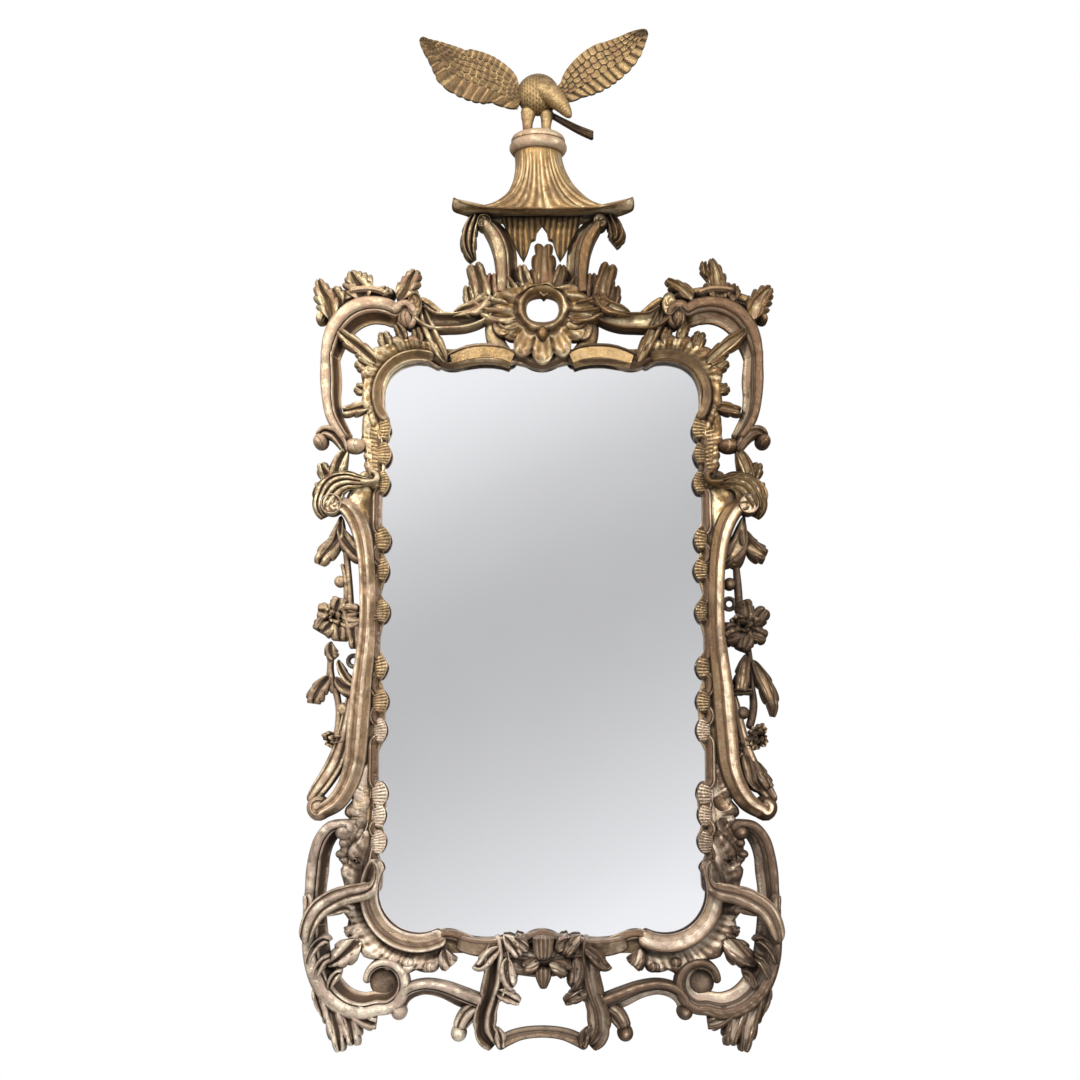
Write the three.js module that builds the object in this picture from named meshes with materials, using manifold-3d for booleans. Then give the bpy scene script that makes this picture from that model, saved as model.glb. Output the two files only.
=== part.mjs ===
// Carved giltwood pier glass: a rebated frame with a mirror plate, pierced scroll and leaf carving
// around it, and a crest with a pierced cartouche, a pagoda roof and a bird with spread wings.
//
// Millimetres. +Z is up, +X is to the right of someone who looks at the glass, and the front faces -Y.
// The origin is the middle of the mirror plate, on the flat back of the frame, which lies in y = 0.

import * as THREE from 'three';
import { mergeVertices } from 'three/addons/utils/BufferGeometryUtils.js';
import Module from 'manifold-3d';

const wasm = await Module();
wasm.setup();

// ---- Driving dimensions --------------------------------------------------------------------------

const CLEAR = 0.3; // gap between two pieces that touch

const GLASS_W = 520; // mirror plate, width
const GLASS_H = 904; // mirror plate, height
const GLASS_T = 4; // mirror plate, thickness

const LAP = 8; // how far the frame covers the edge of the plate at the corner ears
const LIP = 10; // wood in front of the plate
const WALL = 8.7; // wood beside the plate
const REBATE = 24; // depth of the rebate, from the back
const EAR_R_TOP = 57; // radius of the round ears of the opening, upper corners
const EAR_R_LOW = 66; // and lower corners
const SCALLOP = 14; // how far a carved lobe stands into the opening
const JOINT_U = 190; // where stile and rail meet, from the centre line

const BOARD_T = 10; // backboards, thickness
const BOARDS = 3; // upright planks side by side
const BLOCK_L = 60; // glazing blocks between plate and boards, length
const BLOCK_W = 12; // and width

const MEMBER_BACK = 22; // carved members: how far their back stays in front of the wall
const MEMBER_FRONT = 58; // and where their ridge lies
const SHELL_FRONT = 48; // flat shell work round the ears
const SPRAY_FRONT = 78; // leaf that crosses in front of the lower scrolls
const GARLAND_BACK = 24;
const GARLAND_FRONT = 52;

const ROOF_W = 293; // pagoda roof, tip to tip
const ROOF_D = 76; // its depth
const ROOF_EAVE_Z = 679; // underside of the eave
const ROOF_TOP_Z = 780; // top of its neck
const ROOF_LIFT = 15; // how far its front corners turn up
const NECK_R = 38; // radius of the neck
const NECK_U = -6; // the neck leans a little to the left
const CAP_R = 46; // collar on the neck
const CAP_H = 34;

const BODY_R = 33; // bird's body
const WING_T = 11; // thickness of a wing

const RING_R = 12.5; // hanging ring, outer radius
const RING_WIRE = 8; // thickness of the ring
const RING_REACH = 23; // ring centre to the side of the stile
const RING_Z_LEFT = -29; // height of the left ring
const RING_Z_RIGHT = 60; // height of the right ring
const HINGE_Y = 10; // hinge axis, from the wall
const HINGE_OUT = 6.8; // hinge axis, from the side of the stile
const PIN_R = 1.6; // pins of the ring
const PLATE_L = 44; // ring plate, length
const PLATE_T = 2.4; // its thickness
const PLATE_W = 14; // its width
const SCREW_R = 3.4; // screw heads
const SCREW_H = 1.6;

// Where carved lobes stand into the opening: heights on its long sides, from the middle of the plate,
// and places along its short sides, from the centre line.
const SIDE_LOBES = [333, 293, 248, 158, 111, 46, -40, -92, -136, -232, -264, -304];
const RAIL_LOBES = [-142, 0, 142];

// ---- Sizes that follow ---------------------------------------------------------------------------

const HALF_W = GLASS_W / 2;
const HALF_H = GLASS_H / 2;
const STILE_OUT = HALF_W + CLEAR + WALL; // outer side of a stile
const RAIL_OUT = HALF_H + CLEAR + WALL + 1; // outer side of a rail
const FACE = REBATE + LIP; // front of the frame, from the wall
const SIGHT_U = HALF_W - LAP - 2; // nominal half width of the opening
const SIGHT_Z = HALF_H - LAP - 1; // nominal half height of the opening

// The carving is drawn for a stile whose outer side lies at 269 and a rail whose outer side lies at
// 462. On a wider or taller frame its points move out with the corners, and only the plain stretches
// between 90 and 130 across, and within 150 of the middle in height, grow.
const wider = STILE_OUT - 269;
const taller = RAIL_OUT - 462;

function fitU(u) {
  const share = THREE.MathUtils.clamp((Math.abs(u) - 90) / 40, 0, 1);
  return u + Math.sign(u) * share * wider;
}

function fitZ(z) {
  return z + THREE.MathUtils.clamp(z / 150, -1, 1) * taller;
}

// A garland keeps its own size, and lies halfway up the side.
function keepZ(z) {
  return z;
}

// ---- From geometry to solids ---------------------------------------------------------------------

// Signed volume of a triangle list, negative when its faces point inwards.
function signedVolume(points, index) {
  let sum = 0;
  const a = new THREE.Vector3();
  const b = new THREE.Vector3();
  const c = new THREE.Vector3();
  for (let i = 0; i < index.length; i += 3) {
    a.fromArray(points, 3 * index[i]);
    b.fromArray(points, 3 * index[i + 1]);
    c.fromArray(points, 3 * index[i + 2]);
    sum += a.dot(b.cross(c)) / 6;
  }
  return sum;
}

// A closed three.js geometry as a solid, with its faces turned outwards.
function solid(geometry) {
  const bare = geometry.index ? geometry : geometry.clone();
  bare.deleteAttribute('normal');
  bare.deleteAttribute('uv');
  const merged = mergeVertices(bare, 1e-3);
  const index = Array.from(merged.index.array);
  const kept = [];
  for (let i = 0; i < index.length; i += 3) {
    const [a, b, c] = index.slice(i, i + 3);
    if (a !== b && b !== c && c !== a) kept.push(a, b, c);
  }
  const points = merged.attributes.position.array;
  if (signedVolume(points, kept) < 0) {
    for (let i = 0; i < kept.length; i += 3) {
      [kept[i + 1], kept[i + 2]] = [kept[i + 2], kept[i + 1]];
    }
  }
  const mesh = new wasm.Mesh({
    numProp: 3,
    vertProperties: Float32Array.from(points),
    triVerts: Uint32Array.from(kept),
  });
  return new wasm.Manifold(mesh);
}

function join(solids) {
  return solids.reduce((sum, piece) => sum.add(piece));
}

// The largest shell of a triangle list: chips that a neighbour cuts loose are left out.
function largestShell(points, index) {
  const count = points.length / 3;
  const parent = Array.from({ length: count }, (_, i) => i);
  const root = (i) => {
    while (parent[i] !== i) {
      parent[i] = parent[parent[i]];
      i = parent[i];
    }
    return i;
  };
  for (let i = 0; i < index.length; i += 3) {
    parent[root(index[i])] = root(index[i + 1]);
    parent[root(index[i + 1])] = root(index[i + 2]);
  }
  const shells = new Map();
  for (let i = 0; i < index.length; i += 3) {
    const key = root(index[i]);
    if (!shells.has(key)) shells.set(key, []);
    shells.get(key).push(index[i], index[i + 1], index[i + 2]);
  }
  let best = [];
  let most = -Infinity;
  for (const shell of shells.values()) {
    const volume = signedVolume(points, shell);
    if (volume > most) {
      most = volume;
      best = shell;
    }
  }
  return best;
}

function toGeometry(piece) {
  const mesh = piece.getMesh();
  const points = mesh.vertProperties;
  const index = largestShell(points, Array.from(mesh.triVerts));
  const geometry = new THREE.BufferGeometry();
  geometry.setAttribute('position', new THREE.BufferAttribute(Float32Array.from(points), 3));
  geometry.setIndex(index);
  const flat = geometry.toNonIndexed();
  const closed = mergeVertices(flat, 1e-4);
  closed.computeVertexNormals();
  return closed;
}

// ---- Forms of the carving ------------------------------------------------------------------------

// A box between two corners, given in any order.
function block(x0, x1, y0, y1, z0, z1) {
  const geometry = new THREE.BoxGeometry(Math.abs(x1 - x0), Math.abs(y1 - y0), Math.abs(z1 - z0));
  geometry.translate((x0 + x1) / 2, (y0 + y1) / 2, (z0 + z1) / 2);
  return solid(geometry);
}

// A flat outline, given as [u, z] points, between two depths in front of the wall.
function plate(outline, back, front, side = 1) {
  const shape = new THREE.Shape(outline.map(([u, z]) => new THREE.Vector2(side * u, z)));
  const geometry = new THREE.ExtrudeGeometry(shape, { depth: front - back, bevelEnabled: false });
  geometry.rotateX(Math.PI / 2);
  geometry.translate(0, -back, 0);
  return solid(geometry);
}

// Sections of a carved strand: across it from -1 to 1, and from its back, 0, to its ridge, 1.
const MEMBER = [[-1, 0], [-1, 0.55], [-0.5, 1], [0.5, 1], [1, 0.55], [1, 0]];
const LEAF = [[-1, 0.15], [-0.5, 0.7], [0, 1], [0.5, 0.7], [1, 0.15], [0, 0]];
const BLADE = [[-1, 0.35], [0, 1], [1, 0.35], [0, 0]];

// A strand of carving along a route. Each station is [u, z, half width]. It runs flat against its
// back depth, and its ridge sinks towards the back where the strand is narrow.
function strand(stations, options) {
  const { back, front, section = MEMBER, steps = 8, side = 1, grow = 0, height = fitZ } = options;
  const fitted = stations.map(([u, z, w]) => new THREE.Vector3(fitU(u), w, height(z)));
  const route = new THREE.CatmullRomCurve3(fitted, false, 'centripetal');
  const widest = Math.max(...stations.map((station) => station[2]));
  const sides = section.length;
  const geometry = new THREE.CylinderGeometry(1, 1, 1, sides, steps);
  const place = geometry.attributes.position;
  const rings = [];
  for (let i = 0; i <= steps; i += 1) {
    const at = route.getPoint(i / steps);
    const along = route.getTangent(i / steps);
    along.y = 0;
    along.normalize();
    if (i === 0) at.addScaledVector(along, -grow);
    if (i === steps) at.addScaledVector(along, grow);
    const lift = Math.min(1, 0.35 + (0.65 * at.y) / (0.6 * widest));
    const half = at.y + grow;
    const deep = (front - back) * lift + 2 * grow;
    const ring = section.map(([across, out]) => new THREE.Vector3(
      side * (at.x - along.z * across * half),
      -(back - grow + deep * out),
      at.z + along.x * across * half,
    ));
    rings.push(ring);
  }
  for (let i = 0; i < place.count; i += 1) {
    const x = place.getX(i);
    const z = place.getZ(i);
    const ring = rings[Math.round((0.5 - place.getY(i)) * steps)];
    if (Math.hypot(x, z) < 0.5) {
      const middle = new THREE.Vector3();
      ring.forEach((corner) => middle.addScaledVector(corner, 1 / sides));
      place.setXYZ(i, middle.x, middle.y, middle.z);
    } else {
      const turn = (Math.atan2(x, z) / (2 * Math.PI)) * sides;
      const corner = ring[(Math.round(turn) + sides) % sides];
      place.setXYZ(i, corner.x, corner.y, corner.z);
    }
  }
  return solid(geometry);
}

// A round boss with a softened front edge, such as the eye of a volute.
function boss([u, z, r, rz = r], { back, front, side = 1, grow = 0, sides = 10 }) {
  const b = back - grow;
  const f = front + grow;
  const profile = [[0, b], [1, b], [1, f - 0.3 * (f - b)], [0.6, f], [0, f]];
  const geometry = new THREE.LatheGeometry(profile.map(([x, y]) => new THREE.Vector2(x, -y)), sides);
  geometry.scale(r + grow, 1, rz + grow);
  geometry.translate(side * fitU(u), 0, fitZ(z));
  return solid(geometry);
}

// An egg-shaped lump.
function lump([u, z, ru, rz], options) {
  const { back, front, side = 1, grow = 0, bumps = 0, swell = 0, sides = 10, height = fitZ } = options;
  const geometry = new THREE.SphereGeometry(1, sides, 5);
  const place = geometry.attributes.position;
  const middle = (back + front) / 2;
  const half = (front - back) / 2 + grow;
  for (let i = 0; i < place.count; i += 1) {
    const across = place.getX(i);
    const up = place.getZ(i);
    const wave = 1 + swell * Math.cos(bumps * Math.atan2(up, across));
    place.setXYZ(
      i,
      side * fitU(u) + across * (ru + grow) * wave,
      -middle + place.getY(i) * half,
      height(z) + up * (rz + grow) * wave,
    );
  }
  return solid(geometry);
}

// ---- Frame, mirror plate and boards --------------------------------------------------------------

// How far lobes of half width 19 stand out at one place along an edge, from 0 to 1.
function lobes(at, places, half = 19) {
  const near = places.map((place) => Math.max(0, 1 - ((at - place) / half) ** 2));
  return Math.max(...near);
}

// The outline of the opening: long sides with lobes, rails with lobes, and round ears at the corners.
function opening() {
  const outline = [];
  const topU = HALF_W - LAP - EAR_R_TOP;
  const topZ = HALF_H - LAP - EAR_R_TOP;
  const lowU = HALF_W - LAP - EAR_R_LOW;
  const lowZ = -(HALF_H - LAP - EAR_R_LOW);
  const sideTop = topZ - 48;
  const sideLow = lowZ + 56;
  const half = [];
  for (let i = 0; i <= 6; i += 1) {
    const u = (i / 6) * (topU - 42);
    half.push([u, SIGHT_Z - SCALLOP * lobes(u, RAIL_LOBES, 34)]);
  }
  for (let i = 0; i <= 8; i += 1) {
    const angle = THREE.MathUtils.degToRad(118 - (i / 8) * 154);
    half.push([topU + EAR_R_TOP * Math.cos(angle), topZ + EAR_R_TOP * Math.sin(angle)]);
  }
  for (let i = 0; i <= 30; i += 1) {
    const z = sideTop + (i / 30) * (sideLow - sideTop);
    const drawn = z - THREE.MathUtils.clamp(z / 150, -1, 1) * taller;
    half.push([SIGHT_U - SCALLOP * lobes(drawn, SIDE_LOBES), z]);
  }
  for (let i = 0; i <= 8; i += 1) {
    const angle = THREE.MathUtils.degToRad(34 - (i / 8) * 150);
    half.push([lowU + EAR_R_LOW * Math.cos(angle), lowZ + EAR_R_LOW * Math.sin(angle)]);
  }
  for (let i = 6; i >= 0; i -= 1) {
    const u = (i / 6) * (lowU - 36);
    half.push([u, -SIGHT_Z - 4 + SCALLOP * lobes(u, RAIL_LOBES, 34)]);
  }
  half.forEach(([u, z]) => outline.push([u, z]));
  half.slice(1, -1).reverse().forEach(([u, z]) => outline.push([-u, z]));
  return outline;
}

const rebateBox = block(
  -HALF_W - CLEAR, HALF_W + CLEAR, 1, -REBATE, -HALF_H - CLEAR, HALF_H + CLEAR,
);
const openingPrism = plate(opening(), REBATE - 1, FACE + 1);

function hollowed(piece) {
  return piece.subtract(rebateBox).subtract(openingPrism);
}

function stile(side) {
  const outer = block(
    side * (JOINT_U + CLEAR / 2), side * STILE_OUT, 0, -FACE, -RAIL_OUT - 6, RAIL_OUT,
  );
  return hollowed(outer);
}

function rail(low, high) {
  return hollowed(block(-JOINT_U + CLEAR / 2, JOINT_U - CLEAR / 2, 0, -FACE, low, high));
}

const bodyBox = block(-STILE_OUT - CLEAR, STILE_OUT + CLEAR, 1, -FACE - CLEAR,
  -RAIL_OUT - 6 - CLEAR, RAIL_OUT + CLEAR);

// ---- Carved members: [u, z, half width] along each strand ----------------------------------------

const ARCH = [[333, 452, 15], [328, 472, 18], [319, 493, 20], [305, 510, 21], [287, 521, 21],
  [266, 525, 20], [246, 522, 19], [229, 515, 16]];
const ARCH_EYE = [217, 512, 16, 19];
const OUTER_SCROLL = [[334, 451, 14], [333, 432, 15], [332, 410, 16], [331, 382, 14], [326, 354, 13],
  [316, 334, 12], [306, 319, 10]];
const CORNER_BASE = [[352, 502, 8], [334, 530, 11], [300, 545, 11], [262, 552, 10], [232, 548, 9]];
const CORNER_LEAVES_LEFT = [
  [[336, 508, 19], [345, 540, 19], [357, 562, 11], [363, 577, 3]],
  [[320, 535, 14], [329, 552, 9], [334, 561, 3]],
  [[284, 540, 25], [288, 560, 20], [299, 578, 9], [306, 590, 3]],
  [[224, 545, 17], [212, 565, 16], [203, 580, 12], [199, 592, 3]],
];
const CORNER_LEAVES_RIGHT = [
  [[334, 506, 20], [340, 530, 18], [354, 548, 11], [367, 560, 3]],
  [[282, 540, 22], [276, 565, 17], [277, 588, 10], [276, 608, 3]],
  [[300, 538, 16], [306, 552, 10], [313, 566, 3]],
  [[238, 545, 15], [222, 556, 13], [205, 568, 8], [195, 576, 3]],
];
const EAR_SHELL = [[250, 322, 9], [258, 345, 12], [266, 375, 17], [267, 408, 20], [256, 438, 23],
  [232, 457, 23], [202, 463, 21], [175, 456, 16], [157, 441, 12]];
const EAR_LINK = [[268, 374, 11], [284, 366, 10], [303, 361, 7]];
const EAR_POINT = [[262, 440, 14], [290, 462, 13], [308, 477, 9], [320, 488, 4]];
const LINK_LEAF = [[188, 524, 5], [181, 503, 9], [171, 479, 13], [158, 456, 13], [149, 436, 9]];
const CREST_RAIL = [[193, 518, 16], [174, 505, 16], [147, 503, 15], [122, 505, 15], [100, 513, 15],
  [80, 529, 15]];
const CREST_EYE = [200, 529, 12, 21];
const TOP_MOULD = [[142, 442, 13], [116, 451, 17], [90, 454, 17], [62, 451, 17], [46, 444, 15]];

const SIDE_ACANTHUS = [[257, 250, 9], [275, 247, 12], [292, 251, 14], [310, 255, 16], [328, 250, 18],
  [336, 234, 15], [339, 215, 12], [331, 200, 9]];
const SIDE_CURL = [[340, 318, 12], [322, 312, 14], [303, 305, 14], [284, 300, 13], [269, 288, 11],
  [259, 268, 9], [257, 250, 8]];
const SIDE_EDGE = [[331, 308, 9], [323, 287, 8], [319, 266, 8], [325, 246, 10]];
const SIDE_EYE = [342, 317, 16];

const LONG_SCROLL = [[320, 211, 10], [305, 204, 10], [291, 189, 10], [281, 170, 9], [274, 146, 8],
  [269, 118, 8], [265, 84, 8], [263, 45, 8], [263, 5, 8], [267, -28, 10], [273, -65, 13],
  [278, -108, 15], [281, -150, 15], [286, -190, 14], [297, -222, 13], [313, -246, 12],
  [331, -256, 11]];
const LONG_EYE_TOP = [326, 212, 17];
const LONG_EYE_LOW = [339, -252, 20];

const LOW_SCROLL = [[304, -282, 12], [318, -286, 14], [331, -301, 15], [338, -323, 16],
  [341, -348, 17], [343, -375, 16], [344, -400, 17], [343, -424, 18]];
const LOW_EYE = [299, -283, 14];
const BIG_SCROLL = [[343, -424, 18], [342, -447, 20], [339, -472, 21], [330, -500, 22],
  [314, -524, 22], [292, -540, 21], [268, -545, 19], [246, -541, 17], [231, -528, 14]];
const BIG_EYE = [237, -508, 26];
const SPRAY = [[348, -442, 15], [343, -417, 13], [328, -397, 12], [303, -383, 12], [277, -374, 11],
  [254, -364, 9], [241, -349, 5], [244, -337, 3]];
const FOOT = [
  [[318, -535, 14], [312, -560, 15], [308, -585, 12], [306, -611, 4]],
  [[296, -540, 16], [287, -568, 14], [284, -600, 4]],
  [[274, -545, 14], [262, -572, 5]],
];
const LOW_SHELL = [[262, -292, 12], [275, -318, 19], [282, -350, 22], [280, -385, 26],
  [273, -416, 26], [255, -446, 27], [228, -467, 27], [196, -476, 25], [166, -476, 20],
  [146, -466, 14]];
const LOW_POINT = [[280, -440, 14], [298, -461, 11], [306, -481, 3]];
const LOW_ROSE = [282, -331, 12];

const APRON_SCROLL = [[213, -552, 8], [209, -535, 9], [197, -523, 10], [175, -518, 11],
  [148, -524, 13], [122, -537, 16], [98, -548, 17]];
const APRON_EYE = [214, -554, 11];
const APRON_DROP = [[116, -540, 13], [122, -563, 11], [124, -580, 9]];
const APRON_DROP_EYE = [124, -584, 10];
const APRON_COLUMN = [[70, -452, 18], [70, -480, 18], [76, -510, 18], [86, -535, 18],
  [92, -560, 19], [84, -584, 15], [70, -597, 9]];
const APRON_POINT = [[70, -534, 12], [48, -539, 8], [33, -541, 3]];
const APRON_SHELL = [[0, -438, 17], [0, -460, 23], [0, -485, 22], [0, -507, 11], [0, -519, 3]];
const APRON_YOKE = [[-60, -486, 14], [-35, -476, 20], [0, -472, 23], [35, -476, 20], [60, -486, 14]];
const APRON_BAR = [[-66, -602, 8], [-50, -592, 9], [-30, -585, 8], [0, -582, 7.5], [30, -585, 8],
  [50, -592, 9], [66, -602, 8]];

const POST = [[90, 668, 10], [80, 661, 14], [67, 645, 16], [58, 622, 17], [54, 598, 17],
  [54, 575, 16], [56, 552, 15]];
const POST_EYE = [92, 668.5, 11];
const TASSEL_LEFT = [[105, 689, 8], [105, 676, 8], [114, 656, 14], [119, 636, 13], [118, 616, 9],
  [113, 603, 3]];
const TASSEL_RIGHT = [[107, 689, 8], [107, 676, 8], [116, 658, 12], [121, 642, 12], [118, 629, 8]];
const CREST_SPRAY = [[97, 534, 15], [101, 562, 13], [106, 588, 8], [108, 599, 3]];
const CREST_SPRAY_SIDE = [[82, 538, 10], [84, 562, 9], [83, 580, 3]];
const TOP_LEAF = [[3, 545, 26], [3, 580, 24], [3, 600, 15], [3, 617, 13], [3, 626, 5]];
const TOP_LEAF_SIDE = [[18, 550, 14], [28, 578, 9], [31, 593, 3]];
const CARTOUCHE_WING = [[55, 524, 20], [84, 527, 17], [104, 536, 6]];
const CARTOUCHE_HORN = [[70, 514, 10], [72, 490, 10], [66, 462, 9]];

// Lobed outer edge of the cartouche, as a radius at a turn from +X, and its pierced oval.
const CARTOUCHE_AT = [1, 524];
const CARTOUCHE_HOLE = [25.5, 21.5];
const CARTOUCHE_RIM = [34, 33];
function cartoucheEdge(turn) {
  const down = Math.max(0, -Math.sin(turn));
  const wide = Math.abs(Math.cos(turn));
  return 42 + 58 * down ** 1.2 + 40 * wide ** 4 * (1 - down) + 4 * Math.cos(9 * turn);
}

// ---- Making the carved pieces --------------------------------------------------------------------

const member = { back: MEMBER_BACK, front: MEMBER_FRONT };
const shell = { back: MEMBER_BACK, front: SHELL_FRONT };
const leafy = { back: MEMBER_BACK + 6, front: MEMBER_FRONT, section: LEAF };

// A ring of carving round the pierced oval of the crest, flat at the back and hollowed to its rim.
function cartouche(grow) {
  const b = MEMBER_BACK - grow;
  const f = MEMBER_FRONT + 4 + grow;
  // share of the way from the oval to the edge, and depth
  const profile = [[0, b], [0, f - 16], [0.12, f - 5], [0.3, f], [0.7, f - 5], [1, f - 18], [1, b]];
  const loop = [...profile, profile[0]].map(([x, y]) => new THREE.Vector2(x + 1, -y));
  const geometry = new THREE.LatheGeometry(loop, 26);
  const place = geometry.attributes.position;
  for (let i = 0; i < place.count; i += 1) {
    const turn = Math.atan2(place.getZ(i), place.getX(i));
    const share = Math.hypot(place.getX(i), place.getZ(i)) - 1;
    const inner = Math.hypot(
      (CARTOUCHE_HOLE[0] - grow) * Math.cos(turn), (CARTOUCHE_HOLE[1] - grow) * Math.sin(turn),
    );
    const rim = Math.hypot(CARTOUCHE_RIM[0] * Math.cos(turn), CARTOUCHE_RIM[1] * Math.sin(turn));
    const outer = cartoucheEdge(turn) + grow;
    let r = inner + (rim - inner) * (share / 0.3);
    if (share > 0.3) r = rim + (outer - rim) * ((share - 0.3) / 0.7);
    place.setX(i, CARTOUCHE_AT[0] + r * Math.cos(turn));
    place.setZ(i, fitZ(CARTOUCHE_AT[1]) + r * Math.sin(turn));
  }
  return solid(geometry);
}

// The concave roof: round at its neck, square at the eave, narrower towards the wall, with its two
// front corners turned up.
function roof(grow) {
  const sides = 24;
  const geometry = new THREE.CylinderGeometry(1, 1, 1, sides, 6);
  const place = geometry.attributes.position;
  const middle = ROOF_D / 2 + 2;
  for (let i = 0; i < place.count; i += 1) {
    const down = 0.5 - place.getY(i);
    const across = place.getX(i);
    const inward = place.getZ(i);
    const corner = Math.min(Math.abs(across), Math.abs(inward)) / Math.SQRT1_2;
    const flare = down ** 3;
    const squared = 1 + down ** 2 * (Math.hypot(1, corner) - 1) * 0.9;
    const x = across * squared * (NECK_R + (ROOF_W / 2 - NECK_R) * flare + grow);
    const y = inward * squared * (NECK_R + (ROOF_D / 2 - NECK_R) * flare + grow);
    const behind = 0.5 + y / ROOF_D;
    const lift = ROOF_LIFT * corner ** 4 * down ** 9 * (1 - behind);
    const z = ROOF_EAVE_Z + (ROOF_TOP_Z - ROOF_EAVE_Z) * (1 - down) ** 1.7 + lift;
    const end = grow * Math.sign(down - 0.5) * (down === 0 || down === 1 ? 1 : 0);
    place.setXYZ(
      i,
      NECK_U * (1 - down) + 2 * down + x * (1 - 0.35 * down * behind),
      y - middle,
      fitZ(z - end),
    );
  }
  const front = block(-400, 400, -4 + grow, -400, 500, 1200);
  return solid(geometry).intersect(front);
}

function cap(grow) {
  const z = ROOF_TOP_Z + CLEAR;
  const r = CAP_R + grow;
  const profile = [[0, -grow], [r - 6, -grow], [r - 2, 6], [r, 11], [r, 15], [r - 3, 19],
    [r - 3, 22], [r - 6, 29], [r - 12, CAP_H - 4], [r - 18, CAP_H + grow], [0, CAP_H + grow]];
  const geometry = new THREE.LatheGeometry(profile.map(([x, h]) => new THREE.Vector2(x, h)), 16);
  geometry.rotateX(Math.PI / 2);
  geometry.translate(NECK_U, -ROOF_D / 2 - 2, fitZ(z));
  return solid(geometry).intersect(block(-200, 200, -3 + grow, -200, 500, 1200));
}

// The drapery under the roof: two pointed falls with an arch between them.
function fringe(grow) {
  const edge = [[0, 664], [-8, 653], [-10, 641], [-17, 640], [-23, 622], [-31, 616], [-42, 635],
    [-55, 657], [-68, ROOF_EAVE_Z - CLEAR]];
  const drawn = [...edge, ...edge.slice(1).reverse().map(([u, z]) => [-u, z])];
  const outline = drawn.map(([u, z]) => [u, fitZ(z)]);
  return plate(outline, MEMBER_BACK + 6 - grow, MEMBER_FRONT - 14 + grow);
}

// A wing: a leaf-shaped blade with its long feathers towards the tip.
const WING_LEFT = [[-40, 871, 13], [-53, 879, 22], [-68, 895, 34], [-94, 905, 38], [-121, 913, 38],
  [-140, 921, 34], [-155, 933, 27], [-171, 946, 18], [-187, 959, 9], [-197, 972, 3]];
const WING_RIGHT = [[30, 880, 12], [44, 887, 18], [59, 903, 29], [78, 915, 33], [99, 928, 32],
  [119, 939, 28], [137, 952, 23], [151, 966, 16], [162, 978, 9], [170, 988, 3]];
const WING_Y = 50;

const FOOT_Z = ROOF_TOP_Z + CAP_H + 2 * CLEAR; // top of the collar, where the bird stands

const BIRD_NECK = [[-16, 891, 15], [4, 879, 20], [24, 861, 17], [38, 845, 11], [45, 834, 4]];
const BIRD_TAIL = [[10, 850, 5], [35, 836, 5], [58, 825, 5], [78, 816, 6]];

function bird(grow) {
  const y = ROOF_D / 2 + 2;
  const leg = { back: y - 8, front: y + 8, steps: 3 };
  const parts = [
    lump([-5, 880, BODY_R, BODY_R], { back: y - 24, front: y + 26, grow, sides: 14 }),
    strand(BIRD_NECK, { back: y + 2, front: y + 34, section: LEAF, steps: 5, grow }),
    strand(BIRD_TAIL, { back: y - 10, front: y, steps: 3, grow }),
    strand([[-21, 858, 9], [-22, 832, 7], [-22, FOOT_Z, 7]], { ...leg, grow }),
    strand([[8, 852, 9], [7, 832, 7], [6, FOOT_Z, 8]], { ...leg, grow }),
  ];
  return join(parts);
}

function wing(stations, grow) {
  return strand(stations, {
    back: WING_Y - WING_T / 2, front: WING_Y + WING_T / 2, steps: 10, grow,
  });
}

// ---- Garlands --------------------------------------------------------------------------------------

const garland = { back: GARLAND_BACK, front: GARLAND_FRONT, height: keepZ };
const frond = { ...garland, back: GARLAND_BACK + 4, front: GARLAND_FRONT - 4, section: BLADE, steps: 4 };
const stem = { ...garland, back: GARLAND_BACK + 8, front: GARLAND_FRONT - 8, section: BLADE, steps: 3 };
const blossom = { ...garland, bumps: 5, swell: 0.12, sides: 10 };
const berry = { ...garland, back: GARLAND_BACK + 5, front: GARLAND_FRONT - 6, sides: 6 };

function garlandLeft(grow) {
  const side = -1;
  const fronds = [
    [[316, 196, 4], [318, 172, 10], [329, 148, 15], [343, 128, 12], [349, 115, 4]],
    [[318, 168, 8], [306, 146, 13], [288, 132, 10], [270, 126, 4]],
    [[307, 60, 10], [298, 26, 10], [287, 4, 7], [284, -12, 3]],
    [[306, 40, 10], [280, 42, 9], [256, 38, 4]],
    [[324, -54, 7], [334, -72, 13], [345, -84, 10], [351, -97, 3]],
    [[322, -60, 8], [306, -76, 12], [288, -84, 9], [270, -88, 4]],
    [[322, -34, 4], [306, -46, 6], [290, -60, 4]],
  ];
  const stems = [
    [[318, 140, 4], [314, 110, 3], [306, 85, 3], [306, 52, 4]],
    [[318, 10, 5], [323, -20, 4], [327, -42, 4], [324, -60, 5]],
    [[318, -70, 5], [312, -95, 4], [309, -120, 4], [313, -150, 5]],
    [[312, -145, 6], [298, -158, 5], [284, -166, 5], [282, -180, 5]],
  ];
  const parts = [
    ...fronds.map((route) => strand(route, { ...frond, side, grow })),
    ...stems.map((route) => strand(route, { ...stem, side, grow })),
    lump([320, 32, 35, 33], { ...blossom, side, grow }),
    lump([312, 92, 7, 7], { ...berry, side, grow }),
    lump([304, -102, 8, 8], { ...berry, side, grow }),
    lump([313, -150, 25, 17], { ...blossom, front: GARLAND_FRONT - 4, side, grow }),
  ];
  return join(parts);
}

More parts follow.
